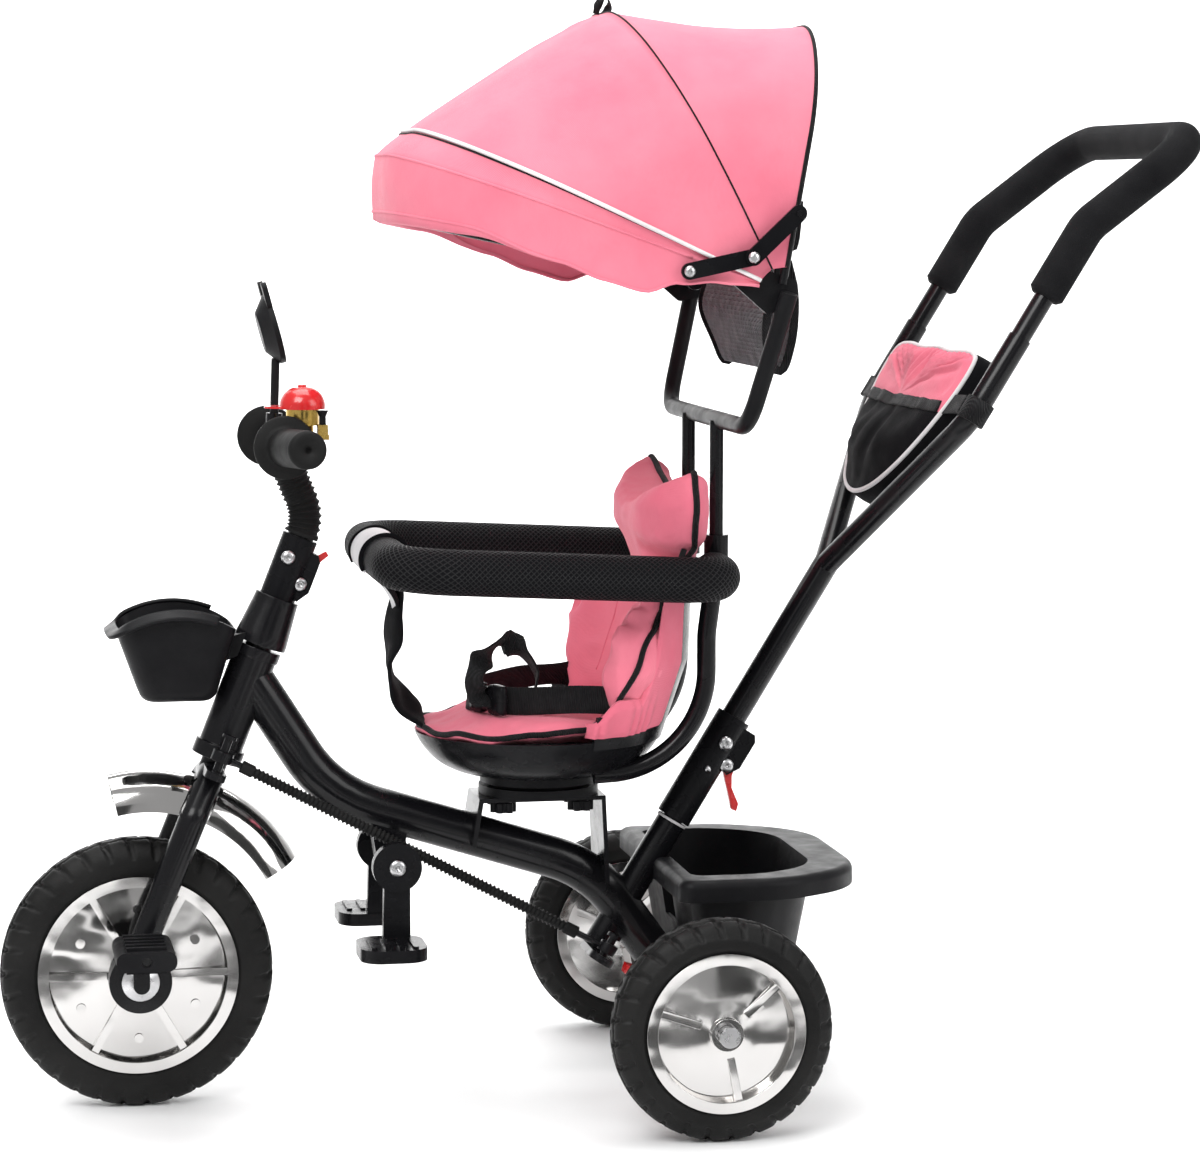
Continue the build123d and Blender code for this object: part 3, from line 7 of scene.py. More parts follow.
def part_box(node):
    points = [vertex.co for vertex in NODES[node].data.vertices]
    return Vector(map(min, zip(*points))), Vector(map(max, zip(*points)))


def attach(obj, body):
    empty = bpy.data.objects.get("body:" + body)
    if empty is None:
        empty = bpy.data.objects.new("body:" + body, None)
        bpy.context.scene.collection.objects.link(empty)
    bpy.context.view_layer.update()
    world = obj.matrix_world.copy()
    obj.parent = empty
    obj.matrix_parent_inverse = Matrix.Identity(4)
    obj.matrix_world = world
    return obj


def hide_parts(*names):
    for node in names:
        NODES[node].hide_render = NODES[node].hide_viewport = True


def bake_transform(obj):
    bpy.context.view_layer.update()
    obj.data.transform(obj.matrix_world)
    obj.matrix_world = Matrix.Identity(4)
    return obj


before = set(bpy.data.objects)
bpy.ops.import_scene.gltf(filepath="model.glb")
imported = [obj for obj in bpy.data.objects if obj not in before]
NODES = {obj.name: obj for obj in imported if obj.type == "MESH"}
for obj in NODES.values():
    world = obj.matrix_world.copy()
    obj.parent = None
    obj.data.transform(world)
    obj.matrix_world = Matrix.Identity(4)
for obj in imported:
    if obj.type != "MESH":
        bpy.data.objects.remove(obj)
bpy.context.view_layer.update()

# Places are given in millimetres ahead of the rear axle, to the rider's left and up
axle_low, axle_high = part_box("rear_axle")
AXLE_X = (axle_low.x + axle_high.x) / 2
HEAD_LEAN = math.radians(21.5)
HEAD_FOOT = (413, 380)
SHAFT_LEAN = math.radians(31.7)
SHAFT_FOOT = (48.4, 171.5)


def at(ahead, height, side=0.0):
    return Vector((AXLE_X + ahead / 1000, side / 1000, height / 1000))


HEAD_UP = Vector((-math.sin(HEAD_LEAN), 0, math.cos(HEAD_LEAN)))
HEAD_AHEAD = Vector((math.cos(HEAD_LEAN), 0, math.sin(HEAD_LEAN)))
SHAFT_UP = Vector((-math.sin(SHAFT_LEAN), 0, math.cos(SHAFT_LEAN)))
SHAFT_AHEAD = Vector((math.cos(SHAFT_LEAN), 0, math.sin(SHAFT_LEAN)))
LEFT = Vector((0, 1, 0))


def on_head(along, side=0.0, ahead=0.0):
    return at(*HEAD_FOOT, side) + HEAD_UP * along / 1000 + HEAD_AHEAD * ahead / 1000


def on_shaft(along, side=0.0, ahead=0.0):
    return at(*SHAFT_FOOT, side) + SHAFT_UP * along / 1000 + SHAFT_AHEAD * ahead / 1000


# Materials


class Shader:
    """A material being built from nodes round one Principled shader."""

    def __init__(self, name, colour, roughness, **values):
        self.material = bpy.data.materials.new(name)
        self.material.use_nodes = True
        self.tree = self.material.node_tree
        self.shader = self.tree.nodes["Principled BSDF"]
        self.set("Base Color", (*colour, 1))
        self.set("Roughness", roughness)
        for key, value in values.items():
            self.set(key.replace("_", " "), value)
        self.place = None
        self.height = None

    def set(self, socket, value):
        self.shader.inputs[socket].default_value = value

    def add(self, kind, **values):
        node = self.tree.nodes.new(kind)
        for key, value in values.items():
            if key in node.inputs:
                node.inputs[key].default_value = value
            else:
                setattr(node, key, value)
        return node

    def link(self, start, end):
        self.tree.links.new(start, end)

    def coordinates(self, output="Object"):
        if self.place is None:
            self.place = self.add("ShaderNodeTexCoord")
        return self.place.outputs[output]

    def noise(self, scale, detail=3.0):
        texture = self.add("ShaderNodeTexNoise", Scale=scale, Detail=detail)
        self.link(self.coordinates(), texture.inputs["Vector"])
        return texture.outputs["Fac"]

    def cells(self, scale):
        texture = self.add("ShaderNodeTexVoronoi", Scale=scale)
        self.link(self.coordinates(), texture.inputs["Vector"])
        return texture.outputs["Distance"]

    def maths(self, operation, first, second=None):
        node = self.add("ShaderNodeMath", operation=operation)
        for socket, value in zip(node.inputs, (first, second)):
            if value is None:
                continue
            if isinstance(value, (int, float)):
                socket.default_value = value
            else:
                self.link(value, socket)
        return node.outputs["Value"]

    def spread(self, factor, low, high, start=0.3, end=0.7):
        """Maps a grey value from between two limits to between two others."""
        node = self.add("ShaderNodeMapRange")
        for key, value in (("From Min", start), ("From Max", end), ("To Min", low), ("To Max", high)):
            node.inputs[key].default_value = value
        self.link(factor, node.inputs["Value"])
        return node.outputs["Result"]

    def colours(self, factor, first, second, start=0.3, end=0.7):
        ramp = self.add("ShaderNodeValToRGB")
        ramp.color_ramp.elements[0].position = start
        ramp.color_ramp.elements[1].position = end
        ramp.color_ramp.elements[0].color = (*first, 1)
        ramp.color_ramp.elements[1].color = (*second, 1)
        self.link(factor, ramp.inputs["Fac"])
        self.link(ramp.outputs["Color"], self.shader.inputs["Base Color"])

    def rough(self, factor, low, high, start=0.3, end=0.7):
        self.link(self.spread(factor, low, high, start, end), self.shader.inputs["Roughness"])

    def bump(self, height, distance):
        """Adds a bump in metres on top of any earlier one."""
        node = self.add("ShaderNodeBump", Strength=1.0, Distance=distance)
        self.link(height, node.inputs["Height"])
        if self.height is not None:
            self.link(self.height, node.inputs["Normal"])
        self.height = node.outputs["Normal"]
        self.link(self.height, self.shader.inputs["Normal"])

    def weave(self, pitch, depth):
        """Crossing threads, one over and one under, of a given pitch in metres."""
        split = self.add("ShaderNodeSeparateXYZ")
        self.link(self.coordinates(), split.inputs["Vector"])
        turns = 2 * math.pi / pitch
        first = self.maths("SINE", self.maths("MULTIPLY", split.outputs["X"], turns))
        second = self.maths("SINE", self.maths("MULTIPLY", split.outputs["Y"], turns))
        self.bump(self.maths("MULTIPLY", first, second), depth)


def surface(name, colour, roughness, tint=None, rough=None, grain=(), **values):
    """A material in which noise varies the colour, the roughness and the bumps.

    tint is a noise scale, its detail and two colours; rough is a scale and two ends; each grain is a
    scale, its detail and a depth in metres.
    """
    s = Shader(name, colour, roughness, **values)
    if tint:
        scale, detail, dark, light = tint
        s.colours(s.noise(scale, detail), dark, light)
    if rough:
        scale, low, high = rough
        s.rough(s.noise(scale), low, high)
    for scale, detail, depth in grain:
        s.bump(s.noise(scale, detail), depth)
    return s.material


def moulded(name, dark, light, low, high, grain):
    """Moulded plastic or rubber with a fine grain."""
    return surface(name, light, high, (14, 3, dark, light), (45, low, high),
                   [(900, 4, grain), (60, 2, 0.0001)], Specular_IOR_Level=0.13)


def soft_foam():
    s = Shader("foam", (0.014, 0.014, 0.015), 0.85, Specular_IOR_Level=0.12)
    s.colours(s.noise(25, 5), (0.005, 0.005, 0.006), (0.011, 0.011, 0.012))
    s.bump(s.cells(900), 0.0004)
    s.bump(s.noise(1600, 2), 0.0003)
    return s.material


def netted_foam():
    """Foam under a tight net of crossing ridges, laid out along and round the ring."""
    s = Shader("netted_foam", (0.01, 0.01, 0.011), 0.6, Specular_IOR_Level=0.09)
    split = s.add("ShaderNodeSeparateXYZ")
    s.link(s.coordinates("UV"), split.inputs["Vector"])
    along = s.maths("MULTIPLY", split.outputs["X"], 2 * math.pi / 0.0052)
    round_it = s.maths("MULTIPLY", split.outputs["Y"], 2 * math.pi / 0.0038)
    one = s.maths("ABSOLUTE", s.maths("SINE", s.maths("MULTIPLY", s.maths("ADD", along, round_it), 0.5)))
    two = s.maths("ABSOLUTE", s.maths("SINE", s.maths("MULTIPLY", s.maths("SUBTRACT", along, round_it), 0.5)))
    net = s.maths("MINIMUM", one, two)
    s.colours(net, (0.017, 0.017, 0.018), (0.004, 0.004, 0.005), 0.1, 0.55)
    s.rough(net, 0.42, 0.85, 0.1, 0.6)
    s.bump(s.maths("SUBTRACT", 1.0, net), 0.0008)
    return s.material


def woven(name, dark, light, pitch=0.0011, sheen=0.35, folds=0.0012, gloss=0.3):
    """Close woven cloth with soft shading in its folds."""
    s = Shader(name, light, 0.8, Sheen_Weight=sheen, Sheen_Roughness=0.45, Specular_IOR_Level=gloss)
    s.colours(s.noise(11, 6), dark, light, 0.32, 0.68)
    s.rough(s.noise(50), 0.7, 0.9)
    s.bump(s.noise(26, 3), folds)
    s.weave(pitch, 0.00006)
    s.bump(s.noise(1500, 2), 0.00012)
    return s.material


def webbing(name, dark, light):
    """Ribbed strap webbing."""
    s = Shader(name, light, 0.7, Sheen_Weight=0.05, Specular_IOR_Level=0.15)
    s.colours(s.noise(70, 4), dark, light)
    s.weave(0.0022, 0.0005)
    s.rough(s.noise(90), 0.55, 0.8)
    return s.material


PAINT = surface("black_paint", (0.005, 0.005, 0.006), 0.26,
                tint=(6, 3, (0.004, 0.004, 0.005), (0.007, 0.007, 0.008)), rough=(30, 0.2, 0.32),
                grain=[(420, 2, 0.00003)], Coat_Weight=0.1, Coat_Roughness=0.06, Specular_IOR_Level=0.25)
PLASTIC = moulded("black_plastic", (0.005, 0.005, 0.006), (0.011, 0.011, 0.012), 0.34, 0.5, 0.0002)
SMOOTH_PLASTIC = moulded("smooth_plastic", (0.004, 0.004, 0.005), (0.008, 0.008, 0.009), 0.2, 0.33, 0.00008)
RUBBER = moulded("black_rubber", (0.006, 0.006, 0.006), (0.013, 0.013, 0.013), 0.5, 0.68, 0.00025)
CHROME = surface("chrome", (0.66, 0.65, 0.64), 0.08,
                 tint=(9, 3, (0.60, 0.59, 0.58), (0.71, 0.70, 0.69)), rough=(22, 0.06, 0.15),
                 grain=[(13, 2, 0.0026)], Metallic=1.0)
STEEL = surface("zinc_steel", (0.62, 0.62, 0.63), 0.3,
                rough=(160, 0.2, 0.42), grain=[(500, 3, 0.00008)], Metallic=1.0)
TYRE = surface("tyre_foam", (0.01, 0.01, 0.01), 0.5,
               tint=(18, 5, (0.004, 0.004, 0.004), (0.010, 0.0098, 0.0095)), rough=(60, 0.42, 0.62),
               grain=[(700, 4, 0.00035)], Specular_IOR_Level=0.2)
FOAM = soft_foam()
NETTED = netted_foam()
PINK = woven("pink_cloth", (0.70, 0.165, 0.235), (0.77, 0.215, 0.285), sheen=0.12)
PINK_PAD = woven("pink_pad_cloth", (0.71, 0.155, 0.225), (0.79, 0.21, 0.28), sheen=0.12, folds=0.003)
# A darker copy of the pink cloth: painted shade, used on the canopy's inside, on the inside of the seat
# cover's hems and for the seat cover's seam lines.
PINK_SHADED = woven("pink_painted_shade", (0.66, 0.13, 0.195), (0.73, 0.17, 0.24), sheen=0.1)
BLACK_CLOTH = woven("black_cloth", (0.004, 0.004, 0.005), (0.010, 0.010, 0.011), sheen=0.01, gloss=0.05)
BINDING = webbing("black_binding", (0.004, 0.004, 0.005), (0.010, 0.010, 0.011))
WHITE_PIPING = woven("white_piping", (0.62, 0.60, 0.61), (0.80, 0.79, 0.79), pitch=0.0008, sheen=0.2)
WRAP = woven("silver_wrap", (0.58, 0.58, 0.59), (0.74, 0.74, 0.75), sheen=0.2)
NET = webbing("grey_net", (0.17, 0.17, 0.18), (0.27, 0.27, 0.28))
RED = surface("red_plastic", (0.66, 0.022, 0.022), 0.25,
              tint=(40, 4, (0.52, 0.012, 0.014), (0.66, 0.022, 0.022)), rough=(80, 0.175, 0.325),
              grain=[(500, 2, 0.0001)], Coat_Weight=0.4, Coat_Roughness=0.08)
BRASS = surface("brass", (0.78, 0.52, 0.13), 0.2,
                tint=(50, 4, (0.68, 0.43, 0.09), (0.83, 0.58, 0.17)), rough=(120, 0.12, 0.32),
                grain=[(300, 3, 0.00006)], Metallic=1.0)
MIRROR = surface("mirror_film", (0.9, 0.9, 0.92), 0.03,
                 rough=(35, 0.01, 0.05), grain=[(30, 2, 0.00005)], Metallic=1.0)


def dress(material, *names):
    """Gives CAD nodes a material and softens their edges."""
    for name in names:
        node = NODES[name]
        node.data.materials.clear()
        node.data.materials.append(material)
        soften(node)


def soften(node):
    """Small rounded edges and smooth shading on a CAD node."""
    weld = node.modifiers.new("weld", "WELD")
    weld.merge_threshold = 0.00001
    bevel = node.modifiers.new("bevel", "BEVEL")
    bevel.width = 0.0008
    bevel.segments = 2
    bevel.limit_method = "ANGLE"
    bevel.angle_limit = math.radians(38)
    bevel.harden_normals = False
    bevel.use_clamp_overlap = True
    node.data.polygons.foreach_set("use_smooth", [True] * len(node.data.polygons))
    shade = node.modifiers.new("shade", "WEIGHTED_NORMAL")
    shade.keep_sharp = False


dress(PAINT, "main_tube", "head_tube", "steering_tubes", "rear_frame", "seat_bracket", "seat_tubes",
      "guard_tube", "crank", "fork", "head_cap", "handlebar", "steering_shaft", "steering_link",
      "handle_tubes", "handle_bow", "canopy_posts", "rear_bow", "mid_bow", "front_bow")
dress(PLASTIC, "rear_basket", "front_basket", "left_pedal", "right_pedal", "mirror_housing", "bell_lever",
      "seat_knobs", "seat_base", "canopy_bracket")
dress(SMOOTH_PLASTIC, "footrest", "seat_shell", "stem_clamp", "handle_clamp", "stay_front_links",
      "stay_rear_links")
dress(CHROME, "front_rim", "left_rear_rim", "right_rear_rim", "front_fender")
dress(TYRE, "front_tyre", "left_rear_tyre", "right_rear_tyre")
dress(RUBBER, "stem_bellows", "handlebar_grips", "link_hose")
dress(FOAM, "guard_pad", "handle_grip")
dress(PINK, "seat_cover", "canopy_rear_panel", "canopy_front_panel", "handle_bag")
dress(BLACK_CLOTH, "harness", "canopy_pocket")
dress(WRAP, "guard_strap")
dress(RED, "brake_pedal", "stem_lever", "bell_cap", "handle_lever")
dress(BRASS, "bell_base")
dress(STEEL, "rear_axle")
dress(MIRROR, "mirror_glass")

# Lines and skins


def even(line, step):
    """Points at even distances along a line."""
    reach = [0.0]
    for start, end in zip(line, line[1:]):
        reach.append(reach[-1] + (end - start).length)
    count = max(2, round(reach[-1] / step))
    points = []
    place = 0
    for i in range(count + 1):
        want = reach[-1] * i / count
        while place < len(line) - 2 and reach[place + 1] < want:
            place += 1
        share = (want - reach[place]) / max(1e-9, reach[place + 1] - reach[place])
        points.append(line[place].lerp(line[place + 1], min(1.0, share)))
    return points


def rounded(points, bend, step=0.004):
    """Straight runs joined by bends of one radius."""
    line = [points[0]]
    for before, corner, after in zip(points, points[1:], points[2:]):
        into = (corner - before).normalized()
        away = (after - corner).normalized()
        turn = into.angle(away)
        start = corner - into * bend * math.tan(turn / 2)
        centre = start + (away - into * into.dot(away)).normalized() * bend
        axis = into.cross(away)
        count = max(6, int(bend * turn / 0.002))
        for i in range(count + 1):
            line.append(centre + Matrix.Rotation(turn * i / count, 3, axis) @ (start - centre))
    line.append(points[-1])
    return even(line, step)


def curve(points, step=0.004, closed=False):
    """A smooth line through points."""
    count = len(points)
    line = []
    for i in range(count if closed else count - 1):
        if closed:
            a, b, c, d = (points[(i + k) % count] for k in (-1, 0, 1, 2))
        else:
            b, c = points[i], points[i + 1]
            a = points[i - 1] if i else b * 2 - c
            d = points[i + 2] if i + 2 < count else c * 2 - b
        for k in range(16):
            t = k / 16
            line.append(0.5 * (2 * b + (c - a) * t + (2 * a - 5 * b + 4 * c - d) * t**2
                               + (3 * b - a - 3 * c + d) * t**3))
    line.append(points[0] if closed else points[-1])
    return even(line, step)


def smooth(value, low, high):
    share = min(1.0, max(0.0, (value - low) / (high - low)))
    return share * share * (3 - 2 * share)


def piece(name, verts, faces, material, corners=None):
    """A smooth mesh in the scene, with flat coordinates at its face corners if given."""
    mesh = bpy.data.meshes.new(name)
    mesh.from_pydata([tuple(v) for v in verts], [], faces)
    mesh.polygons.foreach_set("use_smooth", [True] * len(faces))
    mesh.materials.append(material)
    if corners:
        layer = mesh.uv_layers.new(name="flat")
        layer.data.foreach_set("uv", [number for pair in corners for number in pair])
    shape = bpy.data.objects.new(name, mesh)
    show(shape)
    return shape


def show(thing):
    bpy.context.scene.collection.objects.link(thing)


def baked(shape):
    """Makes a shape's mesh what its modifiers make of it."""
    result = shape.evaluated_get(bpy.context.evaluated_depsgraph_get())
    shape.data = bpy.data.meshes.new_from_object(result)
    shape.modifiers.clear()


def skin(name, rows, material, loop=False, ring=False, caps=False):
    """A surface over rows of points; loop joins last row to first, ring joins each row's ends."""
    count, width = len(rows), len(rows[0])
    along = [0.0]
    for i in range(count):
        along.append(along[-1] + (rows[(i + 1) % count][0] - rows[i][0]).length)
    across = [0.0]
    for j in range(width):
        across.append(across[-1] + (rows[0][(j + 1) % width] - rows[0][j]).length)
    faces, corners = [], []
    for i in range(count if loop else count - 1):
        for j in range(width if ring else width - 1):
            k, m = (i + 1) % count, (j + 1) % width
            faces.append((i * width + j, i * width + m, k * width + m, k * width + j))
            corners += [(along[i], across[j]), (along[i], across[j + 1]),
                        (along[i + 1], across[j + 1]), (along[i + 1], across[j])]
    if caps:
        faces.append(tuple(range(width - 1, -1, -1)))
        faces.append(tuple((count - 1) * width + j for j in range(width)))
        corners += [(0.0, across[j]) for j in range(width - 1, -1, -1)]
        corners += [(along[count - 1], across[j]) for j in range(width)]
    return piece(name, [p for row in rows for p in row], faces, material, corners)


def track(line, closed, up):
    """The point, the way along and a steady way out at each point of a line."""
    count = len(line)
    out = up
    for i in range(count):
        if closed:
            way = line[(i + 1) % count] - line[i - 1]
        else:
            way = line[min(i + 1, count - 1)] - line[max(i - 1, 0)]
        way = way.normalized()
        out = (out - way * out.dot(way)).normalized()
        yield line[i], way, out


def sweep(name, line, radius, material, sides=20, closed=False, up=LEFT):
    """A round skin along a line; radius may be a function of the metres along it."""
    if closed:
        line = line[:-1]
    rows = []
    reach = 0.0
    for i, (point, way, out) in enumerate(track(line, closed, up)):
        reach += (point - line[i - 1]).length if i else 0.0
        size = radius(reach) if callable(radius) else radius
        side = way.cross(out)
        turns = [2 * math.pi * j / sides for j in range(sides)]
        rows.append([point + (out * math.cos(t) + side * math.sin(t)) * size for t in turns])
    return skin(name, rows, material, loop=closed, ring=True, caps=not closed)


def length_of(line):
    return sum((end - start).length for start, end in zip(line, line[1:]))


def ended(line, size, round_off):
    """A radius along a line that closes softly at both ends."""
    total = length_of(line)

    def radius(reach):
        left = min(reach, total - reach)
        if left >= round_off:
            return size
        return size - round_off + math.sqrt(max(0.0, round_off**2 - (round_off - left)**2))
    return radius


def ribbon(name, line, out, width, thickness, material):
    """A flat strap along a line; out turns its face and width may vary along its share."""
    rows = []
    count = len(line)
    for i, (point, way, _) in enumerate(track(line, False, LEFT)):
        face = out(i / (count - 1)) if callable(out) else out
        wide = width(i / (count - 1)) if callable(width) else width
        face = (face - way * face.dot(way)).normalized()
        side = way.cross(face) * wide / 2
        lift = face * thickness / 2
        row = []
        for across in (-1, -0.96, -0.5, 0, 0.5, 0.96, 1):
            row.append(point + side * across + lift * (1 if abs(across) < 1 else 0.3))
        for across in (1, 0.96, 0.5, 0, -0.5, -0.96, -1):
            row.append(point + side * across - lift * (1 if abs(across) < 1 else 0.3))
        rows.append(row)
    return skin(name, rows, material, ring=True, caps=True)


def spin(name, profile, foot, axis, material, turns=48):
    """A turned shape from its profile of distances along the axis and radii."""
    axis = axis.normalized()
    side = axis.orthogonal().normalized()
    other = axis.cross(side)
    rows = []
    for along, radius in profile:
        angles = [2 * math.pi * j / turns for j in range(turns)]
        middle = foot + axis * along
        rows.append([middle + (side * math.cos(t) + other * math.sin(t)) * radius for t in angles])
    return skin(name, rows, material, ring=True, caps=True)


def join(name, shapes):
    """Several meshes made into one."""
    with bpy.context.temp_override(active_object=shapes[0], selected_editable_objects=shapes,
                                   selected_objects=shapes):
        bpy.ops.object.join()
    shapes[0].name = name
    return shapes[0]


def cloth(name, rows, outer, inner, thickness=0.0012):
    """A thin sheet with two faces over rows of points, its inside in another cloth."""
    sheet = skin(name, rows, outer)
    mesh = sheet.data
    mesh.materials.append(inner)
    count, width = len(rows), len(rows[0])
    normals = [v.normal.copy() for v in mesh.vertices]
    verts = [v.co.copy() for v in mesh.vertices]
    back = [verts[i] - normals[i] * thickness for i in range(len(verts))]
    faces = [tuple(p.vertices) for p in mesh.polygons]
    total = len(verts)
    inside = [tuple(total + v for v in reversed(face)) for face in faces]
    border = [i * width for i in range(count)] + [(count - 1) * width + j for j in range(1, width)]
    border += [i * width + width - 1 for i in range(count - 2, -1, -1)] + list(range(width - 2, 0, -1))
    edge = []
    for a, b in zip(border, border[1:] + border[:1]):
        edge.append((b, a, total + a, total + b))
    bpy.data.objects.remove(sheet)
    made = piece(name, verts + back, faces + inside + edge, outer)
    made.data.materials.append(inner)
    for number in range(len(faces), len(faces) + len(inside)):
        made.data.polygons[number].material_index = 1
    return made


def mesh_tree(mesh):
    return BVHTree.FromPolygons([v.co for v in mesh.vertices], [p.vertices for p in mesh.polygons])


def snap(points, shape, lift):
    """Points moved onto the nearest place of a mesh, lifted a little off it."""
    tree = mesh_tree(shape.data)
    moved = []
    for point in points:
        place, normal, _, _ = tree.find_nearest(point)
        moved.append(place + normal * lift)
    return moved


def other_side(point):
    return Vector((point.x, -point.y, point.z))


def both_sides(half):
    """A line and its mirror image, one after the other."""
    return half + [other_side(p) for p in reversed(half)]


def mirrored(half):
    """A line and its mirror image, which share the last point."""
    return half + [other_side(p) for p in reversed(half[:-1])]


def wander(point, scale, size, seed=0.0):
    """A smooth random push for cloth, in metres."""
    return noise.noise(point * scale + Vector((seed, seed * 0.7, -seed))) * size


# Tyres of solid foam with a block tread


def tyre(node, body, rim_radius, blocks):
    low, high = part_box(node)
    centre = (low + high) / 2
    radius = (high.z - low.z) / 2
    half = (high.y - low.y) / 2
    outline = [Vector((side, 0, size)) for side, size in (
        (half - 0.004, rim_radius - 0.001), (half - 0.0005, rim_radius + 0.004), (half, rim_radius + 0.012),
        (half - 0.0015, radius - 0.013), (half - 0.006, radius - 0.005), (half - 0.012, radius - 0.0012),
        (0, radius))]
    outline += [Vector((-p.x, 0, p.z)) for p in reversed(outline[:-1])]
    section = curve(outline, 0.0013)
    steps = blocks * 16
    rows = []
    for i in range(steps):
        turn = 2 * math.pi * i / steps
        way = Vector((math.sin(turn), 0, math.cos(turn)))
        row = []
        for point in section:
            depth = tread_depth(point.x / half, point.z / radius, turn * blocks / (2 * math.pi))
            row.append(centre + way * (point.z - depth) + LEFT * point.x)
        rows.append(row)
    made = skin(f"{body}_tyre", rows, TYRE, loop=True)
    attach(made, body)
    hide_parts(node)


def tread_depth(across, out, turn):
    """How far the tread is cut in at a place across it and a turn counted in blocks."""
    if out < 0.84:
        return 0.0
    lean = turn + 0.35 * abs(across) + (0.5 if across < 0 else 0.0)
    phase = abs((lean % 1.0) - 0.5) * 2
    notch = (1 - smooth(phase, 0.16, 0.34)) * smooth(abs(across), 0.34, 0.44)
    wave = abs((turn % 1.0) * 2 - 1)
    zigzag = 1 - smooth(abs(abs(across) - 0.26 - 0.12 * wave), 0.035, 0.085)
    cross = (1 - smooth(abs(across), 0.2, 0.26)) * (1 - smooth(phase, 0.1, 0.22))
    return 0.0036 * max(notch, 0.7 * zigzag, 0.8 * cross) * smooth(out, 0.84, 0.9)


tyre("front_tyre", "front_wheel", 0.093, 34)
tyre("left_rear_tyre", "left_rear_wheel", 0.073, 28)
tyre("right_rear_tyre", "right_rear_wheel", 0.073, 28)

# Ribbed rubber: the sleeve on the handlebar's post and the hose on the steering link


def ribs(total, size, depth, pitch, cuff):
    """A radius along a ribbed sleeve with plain cuffs."""
    def radius(reach):
        left = min(reach, total - reach)
        if left < cuff:
            return size
        return size - depth * (0.5 - 0.5 * math.cos(2 * math.pi * (left - cuff) / pitch)) ** 0.6
    return radius


POST = rounded([on_head(152.4), on_head(185), at(374, 622)], 0.045, 0.0006)
sleeve_line = POST[int(len(POST) * 0.125):int(len(POST) * 0.83)]
sleeve_ribs = ribs(length_of(sleeve_line), size=0.0163, depth=0.0022, pitch=0.0052, cuff=0.003)
sleeve = sweep("post_sleeve", sleeve_line, sleeve_ribs, RUBBER, 36)
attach(sleeve, "fork")
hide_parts("stem_bellows")

LINK_SIDE = 40
link_start = on_shaft(-38, LINK_SIDE)
link_way = on_head(-50, LINK_SIDE) - link_start
link_end = link_start + link_way.normalized() * (link_way.length - 0.020)
link_start = link_start + link_way.normalized() * 0.034
hose_line = even([link_start, link_end], 0.0006)
hose_ribs = ribs(length_of(hose_line), size=0.0060, depth=0.0019, pitch=0.0044, cuff=0.012)
hose = sweep("ribbed_hose", hose_line, hose_ribs, RUBBER, 28)
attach(hose, "link")
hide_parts("link_hose")

# Handlebar grips with a wide inner flange and a small hole in the end


def grip(turn):
    start = at(375, 622, turn * 80)
    end = at(363.5, 626, turn * 177)
    reach = (end - start).length
    profile = [(0, 0.011), (0, 0.0275), (0.001, 0.0288), (0.0025, 0.029), (0.004, 0.0288), (0.0052, 0.0272),
               (0.006, 0.021), (0.0075, 0.0182)]
    for step in range(29):
        along = 0.010 + (reach - 0.022) * step / 28
        profile.append((along, 0.0175 if step % 2 else 0.0169))
    profile += [(reach - 0.008, 0.0175), (reach - 0.003, 0.0172), (reach - 0.0008, 0.0155), (reach, 0.0135),
                (reach, 0.0032), (reach - 0.004, 0.003)]
    return spin("grip", profile, start, end - start, RUBBER)


grips = join("rubber_grips", [grip(1), grip(-1)])
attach(grips, "fork")
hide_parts("handlebar_grips")

# The foam on the push handle

PUSH_SIDE = 172
PUSH_LEAN = math.radians(53)
PUSH_REACH = 0.131
PUSH_BEND = on_shaft(765, PUSH_SIDE)
PUSH_TOP = PUSH_BEND + Vector((-math.sin(PUSH_LEAN), 0, math.cos(PUSH_LEAN))) * PUSH_REACH
foam_line = rounded(both_sides([on_shaft(688, PUSH_SIDE), PUSH_BEND, PUSH_TOP]), 0.05)
handle_foam = sweep("handle_foam", foam_line, ended(foam_line, 0.017, 0.004), FOAM, 32)
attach(handle_foam, "push_handle")
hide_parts("handle_grip")

# The guard ring's netted foam, its wrap and the strap down to the seat

TILT = math.radians(2.9)
GUARD_HALF = 150
GUARD_LONG = 302
GUARD_SIZE = 21
GUARD_AHEAD = Vector((math.cos(TILT), 0, math.sin(TILT)))
GUARD_UP = Vector((-math.sin(TILT), 0, math.cos(TILT)))


def on_guard(ahead, side, up=0.0):
    return at(-23, 499, side) + GUARD_AHEAD * ahead / 1000 + GUARD_UP * up / 1000


guard_points = [on_guard(0, 80), on_guard(0, GUARD_HALF), on_guard(GUARD_LONG, GUARD_HALF)]
guard_line = rounded(both_sides(guard_points), 0.05)
guard_radius = ended(guard_line, GUARD_SIZE / 1000, 0.006)
guard = sweep("guard_foam", guard_line, guard_radius, NETTED, 40, up=Vector((0, 0, 1)))
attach(guard, "frame")
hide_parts("guard_pad")


def wrap_row(side, spread, lift):
    """Points round the foam's front at one place along it."""
    row = []
    for step in range(41):
        share = step / 40 * 2 - 1
        angle = math.radians(100) + share * spread
        size = GUARD_SIZE + lift + wander(Vector((side, share, 0)), 2.0, 1.0, 3)
        row.append(on_guard(GUARD_LONG + math.cos(angle) * size, side, math.sin(angle) * size))
    return row


